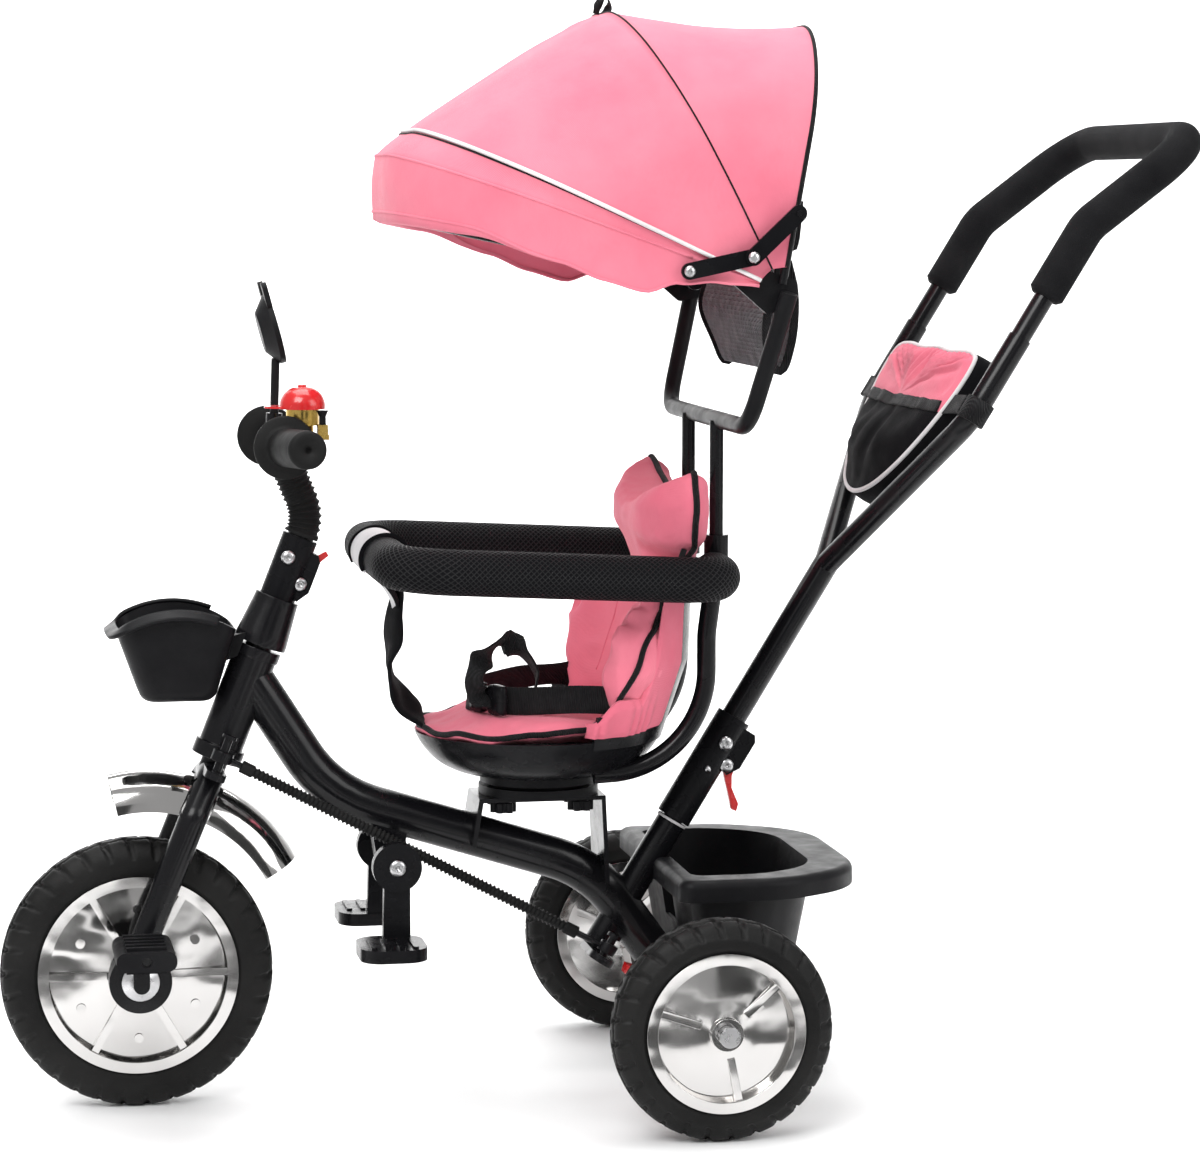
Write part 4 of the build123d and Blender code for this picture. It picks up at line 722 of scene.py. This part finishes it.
def wrap():
    """A pale band over the foam, held by a fold of black cloth that narrows to a point below."""
    rows = []
    for step in range(31):
        share = step / 30 * 2 - 1
        rows.append(wrap_row(-share * 41, math.radians(150 - 20 * share**2), 1.3))
    band = cloth("guard_wrap", rows, WRAP, BLACK_CLOTH)
    edges = [ribbon("wrap_edge", row, Vector((0, turn, 0.2)), 0.005, 0.003, BLACK_CLOTH)
             for turn, row in ((1, rows[0]), (-1, rows[-1]))]
    flap = []
    for step in range(25):
        share = step / 24
        drop = 12 + 38 * share
        half = 40 * (1 - share) ** 0.8 + 2.5
        ahead = GUARD_LONG + 20 * math.cos(math.radians(40 + 70 * share)) * (1 - share) - 14 * share
        flap.append([on_guard(ahead - 5 * (k / 10 - 1) ** 2, half * (1 - k / 10), -drop) for k in range(21)])
    point = cloth("wrap_point", flap, WRAP, BLACK_CLOTH)
    for k in (0, 20):
        line = [row[k] for row in flap]
        edges.append(ribbon("point_edge", line, Vector((1, 0, 0.2)), 0.006, 0.0028, BLACK_CLOTH))
    return join("guard_wrap", [band, point] + edges)


guard_wrap = wrap()
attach(guard_wrap, "frame")

strap_line = curve([at(262, 498), at(264, 478), at(266, 456), at(267, 432), at(271, 408), at(263, 384),
                    at(243, 361), at(238, 354)], 0.003)


def strap_face(share):
    return Vector((1, 0.3 * math.sin(share * 6.0), 0.2))


def strap_width(share):
    return 0.034 + 0.016 * smooth(share, 0.15, 0.5) - 0.005 * math.sin(share * 9) ** 2


crotch = ribbon("crotch_strap", strap_line, strap_face, strap_width, 0.0035, BLACK_CLOTH)
for vertex in crotch.data.vertices:
    vertex.co.x += wander(vertex.co, 45, 0.004, 1)
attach(crotch, "frame")
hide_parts("guard_strap")

# The canopy: cloth stretched over its hoops, with white piping, a dark seam and a carry loop

PIVOT = at(-60, 765)
HALF = 0.203
REAR_HOOP = (100.0, 0.242, 0.105)
MID_HOOP = (63.4, 0.284, 0.178)
PIPING_HOOP = (25.1, 0.340, 0.172)
FOLD_HOOP = (20.0, 0.357, 0.178)
FRONT_HOOP = (11.7, 0.344, 0.172)
ROLLED_HOOPS = ((10.4, 0.3430, 0.1715), (10.1, 0.3365, 0.1685), (10.5, 0.3295, 0.165), (13.2, 0.3265, 0.1635))
HEM_DROPS = ((0.022, 0.0), (0.06, 0.004), (0.096, 0.012), (0.13, 0.026), (0.166, 0.023), (0.207, 0.015),
             (0.3, 0.0))
PIPING_ROW, FOLD_ROW, HEM_ROW = 26, 31, 43


def raised(angle):
    return Vector((math.cos(math.radians(angle)), 0, math.sin(math.radians(angle))))


def hoop(shape, count=140):
    """Even points of a hoop, from its left foot over the top to its right foot."""
    angle, reach, corner = shape
    corners = [PIVOT + LEFT * side * HALF + raised(angle) * far
               for side, far in ((1, 0.022), (1, reach), (-1, reach), (-1, 0.022))]
    line = rounded(corners, corner, 0.002)
    return even(line, length_of(line) / count)


def stretched(first, second, steps, bulge, last=False):
    """Rows of cloth from one hoop to the next, swelling or sagging a little between them."""
    rows = []
    for step in range(steps + last):
        share = step / steps
        row = []
        for a, b in zip(first, second):
            point = a.lerp(b, share)
            top = 1 - smooth(abs(point.y), 0.12, 0.2)
            out = Vector((point.x - PIVOT.x, 0, point.z - PIVOT.z)).normalized()
            point = point + out * bulge * math.sin(math.pi * share) * (top + 0.001)
            side = math.copysign(1.0, point.y) * (1 - top)
            point.y -= side * (0.0015 + 0.0025 * math.sin(math.pi * share))
            fold = out * wander(point, 13, 0.0016, 5)
            dent = LEFT * side * wander(point, 22, 0.0022, 9)
            row.append(point + fold + dent)
        rows.append(row)
    return rows


def hem_drop(point):
    """How far the side hem hangs below the front hoop's line."""
    reach = (point - PIVOT).dot(raised(FRONT_HOOP[0]))
    for (low, first), (high, second) in zip(HEM_DROPS, HEM_DROPS[1:]):
        if low <= reach <= high:
            return (first + (second - first) * smooth(reach, low, high)) * smooth(abs(point.y), 0.15, 0.19)
    return 0.0


rear_rows = stretched(hoop(REAR_HOOP), hoop(MID_HOOP), 24, -0.005, last=True)
# The canopy's inside is the darker pink: painted shade.
rear_panel = cloth("canopy_rear_cloth", rear_rows, PINK, PINK_SHADED)
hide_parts("canopy_rear_panel")

front_rows = stretched(hoop(MID_HOOP), hoop(PIPING_HOOP), PIPING_ROW, 0.005)
front_rows += stretched(hoop(PIPING_HOOP), hoop(FOLD_HOOP), FOLD_ROW - PIPING_ROW, 0.001)
front_rows += stretched(hoop(FOLD_HOOP), hoop(FRONT_HOOP), HEM_ROW - FOLD_ROW, 0.002, last=True)
for number, row in enumerate(front_rows[FOLD_ROW:]):
    for point in row:
        point.z -= hem_drop(point) * smooth(number / (HEM_ROW - FOLD_ROW), 0.0, 1.0)
for number, row in enumerate(front_rows):
    for point in row:
        ridge = math.exp(-((number - 2.5) / 1.2) ** 2) * 0.0016
        point += (point - PIVOT).normalized() * ridge * (1 - smooth(abs(point.y), 0.15, 0.2))
for shape in ROLLED_HOOPS:
    row = []
    for point, above in zip(hoop(shape), hoop(FRONT_HOOP)):
        side = smooth(abs(point.y), 0.15, 0.2)
        point = point.lerp(above, side * 0.7)
        point.y -= math.copysign(0.0045, point.y) * side
        row.append(point - Vector((0, 0, hem_drop(above) * 0.96)))
    front_rows.append(row)
# Its inside is the darker pink too: painted shade.
front_panel = cloth("canopy_front_cloth", front_rows, PINK, PINK_SHADED)
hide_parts("canopy_front_panel")


def lifted(row, size):
    """A row of the canopy's points moved outwards."""
    moved = []
    for point in row:
        out = Vector((point.x - PIVOT.x, point.y * 0.9, point.z - PIVOT.z)).normalized()
        moved.append(point + out * size)
    return moved


piping_row = front_rows[PIPING_ROW]
below_piping = [a.lerp(b, 0.55) for a, b in zip(piping_row, front_rows[PIPING_ROW + 1])]
front_trim = join("canopy_front_trim", [
    sweep("piping", lifted(piping_row, 0.001), 0.0019, WHITE_PIPING, 12),
    sweep("piping_edge", lifted(below_piping, 0.0004), 0.0009, BINDING, 8),
    sweep("fold", lifted(front_rows[FOLD_ROW][10:-10], -0.0004), 0.0013, PINK, 8),
    sweep("front_hem", lifted(front_rows[HEM_ROW], -0.0003), 0.0015, PINK, 10)])

carry_loop = [at(72, 1018), at(70, 1026), at(65, 1033), at(60, 1031), at(60, 1024), at(65, 1017)]
rear_trim = join("canopy_rear_trim", [
    sweep("seam", lifted(rear_rows[-1], 0.0003), 0.0009, BINDING, 8),
    sweep("rear_hem", lifted(rear_rows[0], -0.0004), 0.0019, BINDING, 10),
    ribbon("loop", curve(carry_loop, 0.002), Vector((-0.4, 0.25, 1)), 0.008, 0.0013, BINDING)])

for shape in (rear_panel, rear_trim):
    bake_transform(shape)
for shape in (front_panel, front_trim):
    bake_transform(shape)

# The net pocket behind the canopy, with a black border


def pocket_row(ahead, height, half, bow):
    """A row of the pocket from left to right, bowed back in its middle."""
    row = []
    for j in range(73):
        across = 1 - 2 * j / 72
        row.append(at(ahead - bow * (1 - across**2), height, half * across))
    return row


def net(name, rows):
    """A net of crossing threads over rows of points."""
    sheet = skin(name, rows, NET)
    threads = sheet.modifiers.new("threads", "WIREFRAME")
    threads.thickness = 0.0012
    threads.use_even_offset = False
    baked(sheet)
    return sheet


pocket_line = curve([at(-79, 845), at(-75, 806), at(-68, 770), at(-61, 741), at(-67, 712), at(-76, 690),
                     at(-85, 693), at(-91, 720), at(-88, 756), at(-80, 790)], 0.0042)
pocket_rows = []
for number, spot in enumerate(pocket_line):
    share = number / (len(pocket_line) - 1)
    half = 184 - 40 * smooth(share, 0.12, 0.3) - 36 * smooth(share, 0.34, 0.55)
    half += 30 * smooth(share, 0.66, 0.95)
    half = min(half, 142 if share > 0.16 else 186)
    height = spot.z * 1000
    ahead = (spot.x - AXLE_X) * 1000
    pocket_rows.append(pocket_row(ahead, height, half, 6 * smooth(share, 0.6, 0.9)))
pocket_net = net("canopy_pocket_net", pocket_rows)
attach(pocket_net, "frame")
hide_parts("canopy_pocket")
side_edges = [[row[0] for row in pocket_rows], [row[-1] for row in pocket_rows]]
pocket_border = join("canopy_pocket_border", [
    ribbon("edge", line, Vector((1, 0, 0.2)) if number < 2 else LEFT, 0.008, 0.0022, BINDING)
    for number, line in enumerate([pocket_rows[0], pocket_rows[-1]] + side_edges)])
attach(pocket_border, "frame")

# The storage bag between the arms of the push handle

BAG = [(0, 454), (48, 464), (88, 492), (120, 532), (139, 572), (143, 600), (133, 615), (100, 619), (50, 617),
       (0, 619)]
BAG += [(-side, along) for side, along in reversed(BAG[1:-1])]
BAG_MIDDLE = Vector((0, 556))
BAG_HEM = 553
BAG_LAYERS = [(0.02, -15), (0.3, -16), (0.62, -16), (0.88, -15), (0.96, -13), (0.995, -8), (1.0, -2),
              (0.998, 4), (0.993, 9), (0.985, 13), (0.97, 15), (0.94, 16.5), (0.89, 18), (0.82, 19.5),
              (0.73, 21), (0.63, 22), (0.52, 23), (0.42, 23.5), (0.31, 24), (0.2, 24), (0.1, 24), (0.02, 24)]
BAG_EDGE = 10


def bag_outline():
    line = curve([Vector((side, along, 0)) for side, along in BAG], 2.5, closed=True)[:-1]
    return [Vector((p.x, p.y)) for p in line]


def bag_point(flat, size, ahead):
    """A place on the bag: its outline drawn in to a share, at a depth, with pleats and sag."""
    spot = BAG_MIDDLE + (flat - BAG_MIDDLE) * size
    inner = 1 - size
    pleat = smooth(spot.y, 556, 590) * math.sin(spot.x * 2 * math.pi / 15) * 2.6 * smooth(inner, 0.01, 0.08)
    sag = 9 * math.exp(-((spot.y - 505) / 34) ** 2) * smooth(inner, 0.0, 0.3)
    crease = wander(Vector((spot.x, spot.y, 0)), 0.035, 5.0, 2) * smooth(inner, 0.0, 0.25)
    front = smooth(ahead, 13, 20)
    return on_shaft(spot.y, spot.x, ahead + (pleat + sag + crease) * front)


def bag():
    outline = bag_outline()
    rows = [[bag_point(flat, size, ahead) for flat in outline] for size, ahead in BAG_LAYERS]
    shell = skin("bag_shell", rows, PINK_PAD, ring=True, caps=True)
    shell.data.materials.append(BLACK_CLOTH)
    for number, face in enumerate(shell.data.polygons):
        place = face.center - on_shaft(0)
        front = number // len(outline) >= BAG_EDGE and place.dot(SHAFT_AHEAD) > 0
        face.material_index = 0 if front and place.dot(SHAFT_UP) * 1000 > BAG_HEM else 1
    edge = rows[BAG_EDGE]
    hem = []
    for x in range(-122, 123, 4):
        hem.append(on_shaft(BAG_HEM + 4 * (x / 120) ** 2, x, 30 - 12 * (abs(x) / 124) ** 4))
    trims = [sweep("bag_piping", edge + edge[:1], 0.0022, WHITE_PIPING, 10, closed=True),
             ribbon("bag_hem", snap(hem, shell, 0.0008), SHAFT_AHEAD, 0.012, 0.0022, BINDING)]
    for turn in (-1, 1):
        ring = [(-0.011, 0.0119), (-0.011, 0.0134), (0.011, 0.0134), (0.011, 0.0119)]
        trims.append(spin("bag_loop", ring, on_shaft(566, turn * PUSH_SIDE), SHAFT_UP, BINDING))
        tab = [on_shaft(562, turn * 128, 14), on_shaft(564, turn * 146, 14), on_shaft(566, turn * 166, 12)]
        trims.append(ribbon("bag_tab", curve(tab, 0.003), SHAFT_AHEAD, 0.02, 0.0018, BINDING))
    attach(shell, "push_handle")
    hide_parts("handle_bag")
    trim = join("bag_trim", trims)
    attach(trim, "push_handle")


bag()

# The seat cover: padded cloth over the shell, swollen by simulation, with bound edges


def puffed(name, node, voxel, pressure, cap):
    """A padded piece grown from a CAD solid: remeshed, then swollen as cloth with its movement capped."""
    made = bpy.data.objects.new(name, NODES[node].data.copy())
    made.data.materials.clear()
    show(made)
    remesh = made.modifiers.new("remesh", "REMESH")
    remesh.mode = "VOXEL"
    remesh.voxel_size = voxel
    baked(made)
    start = [v.co.copy() for v in made.data.vertices]
    swell = made.modifiers.new("swell", "CLOTH")
    swell.settings.use_pressure = True
    swell.settings.uniform_pressure_force = pressure
    swell.settings.effector_weights.gravity = 0
    swell.settings.quality = 4
    swell.point_cache.frame_start = 1
    swell.point_cache.frame_end = 20
    for number in range(1, 21):
        bpy.context.scene.frame_set(number)
    moved = made.evaluated_get(bpy.context.evaluated_depsgraph_get()).to_mesh()
    places = [v.co.copy() for v in moved.vertices]
    made.modifiers.clear()
    bpy.context.scene.frame_set(1)
    for vertex, old, new in zip(made.data.vertices, start, places):
        step = new - old
        vertex.co = old + step * min(1.0, cap / max(step.length, 1e-9))
    made.data.polygons.foreach_set("use_smooth", [True] * len(made.data.polygons))
    return made


def settle(line, shape, lift):
    """A line laid onto a mesh and evened out, with its ends kept."""
    line = snap(line, shape, lift)
    for _ in range(3):
        inner = [(a + b * 2 + c) / 4 for a, b, c in zip(line, line[1:], line[2:])]
        line = [line[0]] + inner + [line[-1]]
    return line


SEAT_AHEAD = 128
SEAT = at(SEAT_AHEAD, 347)
HEAD_OUTLINE = [(46, 490), (54, 512), (84, 522), (106, 536), (114, 566), (106, 602), (84, 596), (48, 578),
                (0, 570)]
EDGE_POINTS = [(10, 500, 108), (9, 476, 121), (40, 446, 124), (60, 400, 124), (74, 369, 121), (91, 360, 120),
               (125, 357, 119), (165, 357, 112), (205, 358, 88), (235, 359, 50), (246, 360, 0)]


def cover_wrinkle(point):
    """How far the cover's cloth stands out at a place: soft creases, and gathers at its lower hem."""
    turn = math.atan2(point.y, SEAT.x - point.x)
    height = (point.z - SEAT.z) * 1000
    outside = smooth((point - SEAT).to_2d().length, 0.112, 0.124)
    gather = math.sin(turn * 46 + 2 * math.sin(turn * 9)) * 0.0016 * outside * (1 - smooth(height, 22, 62))
    gather *= smooth(height, 4, 16)
    crease = noise.noise(Vector((point.x * 16, point.y * 16, point.z * 46))) * 0.0022
    pull = noise.noise(Vector((point.x * 60, point.y * 34, point.z * 60 + 4))) * 0.0012
    return gather + crease + pull


def cover_fullness(point, normal):
    """The crowned front of the head cushion, and the seat's loose front edge over the shell's rim."""
    height = point.z * 1000
    crown = smooth(height, 498, 545) * (1 - smooth(height, 560, 606))
    crown *= 1 - smooth(abs(point.y), 0.05, 0.112)
    forward = Vector((1, 0, 0)) * 0.014 * crown * smooth(normal.x, 0.1, 0.6)
    out = (point - SEAT).to_2d()
    rim = smooth(out.length, 0.085, 0.112) * smooth(out.x, 0.0, 0.06) * (1 - smooth(height, 372, 384))
    turn = math.atan2(out.y, out.x)
    spread = out.normalized() * 0.011 * rim
    return forward + Vector((spread.x, spread.y, 0.0028 * rim * math.sin(turn * 11)))


def seat_cover():
    made = puffed("seat_cover_cloth", "seat_cover", 0.005, 4.0, 0.006)
    divide = made.modifiers.new("divide", "SUBSURF")
    divide.levels = divide.render_levels = 1
    baked(made)
    normals = [v.normal.copy() for v in made.data.vertices]
    for vertex, normal in zip(made.data.vertices, normals):
        vertex.co += normal * cover_wrinkle(vertex.co) + cover_fullness(vertex.co, normal)
    made.data.materials.clear()
    made.data.materials.append(PINK_PAD)
    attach(made, "frame")
    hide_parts("seat_cover")
    edge = curve(mirrored([at(*p) for p in EDGE_POINTS]), 0.004)
    ears = [at(-4, 552 + (height - 552) * 1.08, side * 1.08) for side, height in HEAD_OUTLINE]
    ears = curve(mirrored(ears), 0.004)
    chest = [at(38, 478, 60), at(50, 430, 66), at(60, 392, 70)]
    seams = [curve(chest, 0.004), curve([other_side(p) for p in chest], 0.004)]
    bound = [sweep("edge_binding", settle(edge, made, 0.0002), 0.0028, BINDING, 10),
             sweep("head_binding", settle(ears, made, 0.0002), 0.0032, BINDING, 10)]
    # The seam lines are drawn in the darker pink: painted shade in their creases.
    bound += [sweep("seam", settle(line, made, -0.0003), 0.0008, PINK_SHADED, 8) for line in seams]
    trim = join("seat_cover_binding", bound)
    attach(trim, "frame")


seat_cover()


def shell_radius(height):
    """The seat shell's outer radius at a height in mm."""
    if height < 417:
        return 117 + 0.338 * (height - 340)
    return 143 + 0.042 * (height - 417)


def cover_hem(turn):
    """The cover's side that wraps the shell, with a gathered hem drawn under its edge by elastic."""
    rows = []
    for step in range(89):
        degrees = 33 + 44 * step / 88
        angle = math.radians(degrees)
        low = 352 + 5 * (1 - smooth(degrees, 33, 58))
        high = 478 - 91 * smooth(degrees, 47, 53) - 22 * smooth(degrees, 64, 77)
        row = []
        for level in range(31):
            share = level / 30
            height = low + (high - low) * share
            size = shell_radius(height) + 1.7
            size += 1.1 * math.sin(angle * 60 + 3 * math.sin(angle * 14)) * (1 - smooth(height, 358, 404))
            size += 0.7 * noise.noise(Vector((degrees * 0.2, height * 0.03, 5))) * smooth(height, 380, 410)
            size -= 1.6 * (1 - smooth(height - low, 0, 5)) + 9 * smooth(degrees, 74.2, 76.5)
            size -= 5 * smooth(degrees, 47, 53) * smooth(share, 0.7, 1)
            row.append(at(SEAT_AHEAD - size * math.cos(angle), height, turn * size * math.sin(angle)))
        rows.append(row)
    if turn > 0:
        rows.reverse()
    # The hem's inside is the darker pink: painted shade.
    made = cloth(f"cover_hem_{'left' if turn > 0 else 'right'}", rows, PINK_PAD, PINK_SHADED)
    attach(made, "frame")


cover_hem(1)
cover_hem(-1)

# The waist belt: mesh webbing across the seat, a buckle and a standing end of the strap


def buckle(middle, way):
    """A flat buckle with rounded edges, narrower in its middle."""
    side = way.cross(Vector((0, 0, 1))).normalized()
    up = side.cross(way)
    outline = [(-27, 11), (-20, 14), (-8, 14), (-4, 11), (4, 11), (8, 14), (20, 14), (27, 11)]
    outline += [(x, -y) for x, y in reversed(outline)]
    line = [Vector((x, y, 0)) / 1000 for x, y in outline]
    line = curve(line, 0.0015, closed=True)[:-1]
    layers = ((0.6, -0.0042), (0.93, -0.004), (1.0, -0.0025), (1.0, 0.0025), (0.93, 0.004), (0.6, 0.0048))
    rows = []
    for size, out in layers:
        rows.append([middle + way * p.x * size + up * p.y * size + side * out for p in line])
    return skin("buckle", rows, SMOOTH_PLASTIC, ring=True, caps=True)


def curl(share):
    """The way the belt's standing end faces as it curls over."""
    return Vector((math.cos(6.0 * share), 0.15, math.sin(6.0 * share)))


def belt():
    left = curve([at(62, 383, 106), at(82, 385, 98), at(112, 385, 88), at(150, 382, 70),
                  at(176, 381, 54)], 0.004)
    right = curve([at(189, 381, 34), at(196, 380, 4), at(178, 380, -42), at(134, 384, -80), at(82, 385, -98),
                   at(62, 383, -106)], 0.004)
    loose = curve([at(176, 383, 52), at(192, 386, 51), at(197, 402, 50), at(188, 421, 50), at(170, 436, 50),
                   at(150, 424, 51), at(138, 404, 53), at(143, 386, 58)], 0.003)
    upright = Vector((0.35, 1, 0.12))
    shapes = [ribbon("belt_left", left, upright, 0.026, 0.0022, BINDING),
              ribbon("belt_right", right, Vector((1, 0.1, 0.1)), 0.026, 0.0022, BINDING),
              ribbon("belt_end", loose, curl, 0.025, 0.0018, BINDING),
              buckle(at(183, 382, 44), Vector((0.45, -0.9, 0)).normalized())]
    made = join("waist_belt", shapes)
    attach(made, "frame")
    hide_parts("harness")


belt()

# Bolts, rivets and washers


RIGHT = Vector((0, -1, 0))
SIDES = (("left", RIGHT), ("right", LEFT))
LOOK_FROM = 0.4


def meet(node, start, way):
    """Where a straight look along a direction first meets a CAD node."""
    return mesh_tree(NODES[node].data).ray_cast(start, way)[0]


def dome(place, out, radius, height, socket):
    """A domed bolt head with a thin flange, hollowed in the middle where it has a socket."""
    profile = [(-0.0006, radius), (0.0006, radius), (0.0009, radius * 0.93)]
    for step in range(1, 9):
        turn = math.radians(11.25 * step)
        profile.append((0.0009 + height * math.sin(turn), radius * 0.9 * math.cos(turn) + socket))
    if socket:
        profile.append((0.0009 + height * 0.35, socket * 0.92))
    return spin("bolt", profile, place, out, STEEL, 28)


def bolts(name, body, node, spots, radius, height, socket, way):
    """A set of bolt heads on a CAD node where straight looks from one side meet it."""
    shapes = []
    for spot in spots:
        place = meet(node, spot - way * LOOK_FROM, way)
        if place is not None:
            shapes.append(dome(place, -way, radius, height, socket))
    if shapes:
        made = join(name, shapes)
        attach(made, body)


STAY_REAR = PIVOT + raised(REAR_HOOP[0]) * 0.07
STAY_ELBOW = at(-31, 795)
STAY_FRONT = PIVOT + raised(FRONT_HOOP[0]) * 0.088
# Name, body, CAD node, places, radius, height and the radius of the socket
BOLTS = [
    ("rear_stay_rivet", "stay_rear", "stay_rear_links", [STAY_REAR, STAY_ELBOW], 0.0052, 0.0022, 0.0),
    ("front_stay_rivet", "stay_front", "stay_front_links", [STAY_FRONT], 0.0052, 0.0022, 0.0),
    ("stem_bolts", "fork", "stem_clamp", [on_head(123, 0, -14), on_head(143, 0, 6)], 0.0052, 0.0034, 0.002),
    ("clamp_bolts", "steering_column", "handle_clamp", [on_shaft(186, 0, -2), on_shaft(168, 0, -16)],
     0.0056, 0.0032, 0.002),
    ("clamp_pin", "steering_column", "handle_clamp", [on_shaft(156)], 0.0032, 0.0016, 0.0),
    ("footrest_screw", "footrest", "footrest", [at(272, 228)], 0.0062, 0.0032, 0.0024)]
for side, way in SIDES:
    for name, *rest in BOLTS:
        bolts(f"{side}_{name}", *rest, way)

# Silver washers on the front hub


def nearest(names, start, way):
    """The nearest place on several CAD nodes along a straight look."""
    places = [meet(name, start, way) for name in names]
    return min((p for p in places if p is not None), key=lambda p: (p - start).length)


wheel_low, wheel_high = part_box("front_tyre")
hub = (wheel_low + wheel_high) / 2
for side, way in SIDES:
    face = nearest(["crank", "front_rim", "fork"], hub - way * 0.2 - Vector((0, 0, 0.0145)), way)
    profile = [(-0.0004, 0.0085), (-0.0004, 0.0172), (0.0008, 0.0176), (0.0014, 0.017), (0.0014, 0.0112),
               (0.0024, 0.0105), (0.0024, 0.0085)]
    washer = spin(f"{side}_hub_washer", profile, Vector((hub.x, face.y, hub.z)), -way, STEEL, 48)
    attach(washer, "front_wheel")

# The rolled lip of the front basket, and the pale ring where the steering shaft enters its clamp


def rim_height(ahead):
    """The height of the basket's arched rim at a place, on the circle through three points."""
    middle, centre, size = 470.85, 374.3, 93.95
    return centre + math.sqrt(max(0.0, size**2 - (ahead - middle) ** 2))


BASKET_FLOOR = 384
BASKET_DEPTH = 96


def basket_plan(height):
    """Half of the front basket's outline at a height, from its left rear to its nose."""
    rise = (height - BASKET_FLOOR) / BASKET_DEPTH
    back, front, half = 436 - 28 * rise, 503 + 34 * rise, 37 + 14 * rise
    flat = [Vector((back + 22, half, 0)), Vector((front, half, 0)), Vector((front, 0, 0))]
    line = rounded(flat, 18, 1.0)
    return even(line, length_of(line) / 60)


def basket_lip():
    half = []
    for number, first in enumerate(basket_plan(450)):
        point = first
        for _ in range(4):
            point = basket_plan(rim_height(point.x))[number]
        half.append(at(point.x, rim_height(point.x) - 1, point.y))
    line = mirrored(half)
    middle = at(470, 0)

    def outward(share):
        point = line[min(len(line) - 1, round(share * (len(line) - 1)))]
        away = Vector((point.x - middle.x, point.y * 1.6, 0)).normalized()
        return Vector((0, 0, 1)) + away * 0.75
    wide = []
    for number, point in enumerate(line):
        away = outward(number / (len(line) - 1))
        wide.append(point + Vector((away.x, away.y, 0)) * 0.0045)
    made = ribbon("basket_lip", wide, outward, 0.013, 0.0032, PLASTIC)
    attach(made, "fork")


basket_lip()

ring_profile = [(-0.0013, 0.0142), (-0.0013, 0.0152), (0.0013, 0.0152), (0.0013, 0.0142)]
ring = spin("shaft_ring", ring_profile, on_shaft(96), SHAFT_UP, WHITE_PIPING, 48)
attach(ring, "frame")

# Floor, light and camera


def floor():
    """A pale floor that curves up into a backdrop behind the tricycle."""
    front, back, bend, top, half = 4.0, -5.5, 1.0, 9.0, 12
    points = [(front, 0.0), (back, 0.0)]
    for step in range(1, 17):
        turn = math.radians(90 * step / 16)
        points.append((back - bend * math.sin(turn), bend - bend * math.cos(turn)))
    points.append((back - bend, top))
    verts = [(x, y, z) for y, z in points for x in (-half, half)]
    faces = [(2 * i, 2 * i + 1, 2 * i + 3, 2 * i + 2) for i in range(len(points) - 1)]
    pale = surface("pale_floor", (0.93, 0.93, 0.93), 0.6,
                   tint=(0.8, 3, (0.92, 0.92, 0.92), (0.94, 0.94, 0.94)))
    piece("floor", verts, faces, pale)


def lamp(name, place, target, size, power):
    data = bpy.data.lights.new(name, "AREA")
    data.shape = "RECTANGLE"
    data.size, data.size_y = size
    data.energy = power
    light = bpy.data.objects.new(name, data)
    light.location = place
    light.rotation_euler = (Vector(target) - Vector(place)).to_track_quat("-Z", "Y").to_euler()
    show(light)


def dark_board(name, corners):
    """A dark board out of the picture, which the chrome mirrors."""
    dark = surface(name, (0.03, 0.03, 0.03), 0.9, tint=(2.0, 3, (0.025, 0.025, 0.025), (0.04, 0.04, 0.04)))
    board = piece(name, corners, [(0, 1, 2, 3)], dark)
    board.visible_camera = False
    board.visible_shadow = False
    board.visible_diffuse = False


def standing(first, second, top):
    """The corners of a board that stands on the floor between two places."""
    return [(*first, 0.0), (*second, 0.0), (*second, top), (*first, top)]


def lying(near, far):
    """The corners of a strip that lies in front of the tricycle."""
    half, height = 1.6, 0.002
    return [(-half, near, height), (half, near, height), (half, far, height), (-half, far, height)]


floor()
dark_board("dark_board_left", standing((0.35, 4.6), (1.5, 4.2), 2.6))
dark_board("dark_board_right", standing((-2.4, 4.2), (-0.9, 4.6), 2.6))
dark_board("dark_strip_near", lying(0.52, 0.78))
dark_board("dark_strip_far", lying(1.15, 2.3))
lamp("key", (1.8, 2.6, 3.2), (0, 0, 0.5), (2.4, 2.0), 120)
lamp("fill", (-2.6, 2.4, 2.0), (0, 0, 0.5), (2.2, 2.2), 45)
lamp("top", (0.0, -0.4, 3.6), (0, 0, 0), (3.2, 2.6), 110)
lamp("backdrop", (0.0, -3.4, 3.8), (0, -6.0, 0.8), (6.0, 1.5), 420)

world = bpy.data.worlds.new("studio")
world.use_nodes = True
background = world.node_tree.nodes["Background"]
background.inputs["Color"].default_value = (1, 1, 1, 1)
background.inputs["Strength"].default_value = 0.4
bpy.context.scene.world = world
bpy.context.scene.view_settings.view_transform = "Standard"

camera_data = bpy.data.cameras.new("camera")
camera_data.sensor_width = 36
camera_data.lens = 108.5
camera = bpy.data.objects.new("camera", camera_data)
camera.location = at(706.5, 853.9, 3356.3)
YAW = 0.188
PITCH = 0.108
look = Vector((-math.sin(YAW) * math.cos(PITCH), -math.cos(YAW) * math.cos(PITCH), -math.sin(PITCH)))
camera.rotation_euler = look.to_track_quat("-Z", "Y").to_euler()
show(camera)
bpy.context.scene.camera = camera
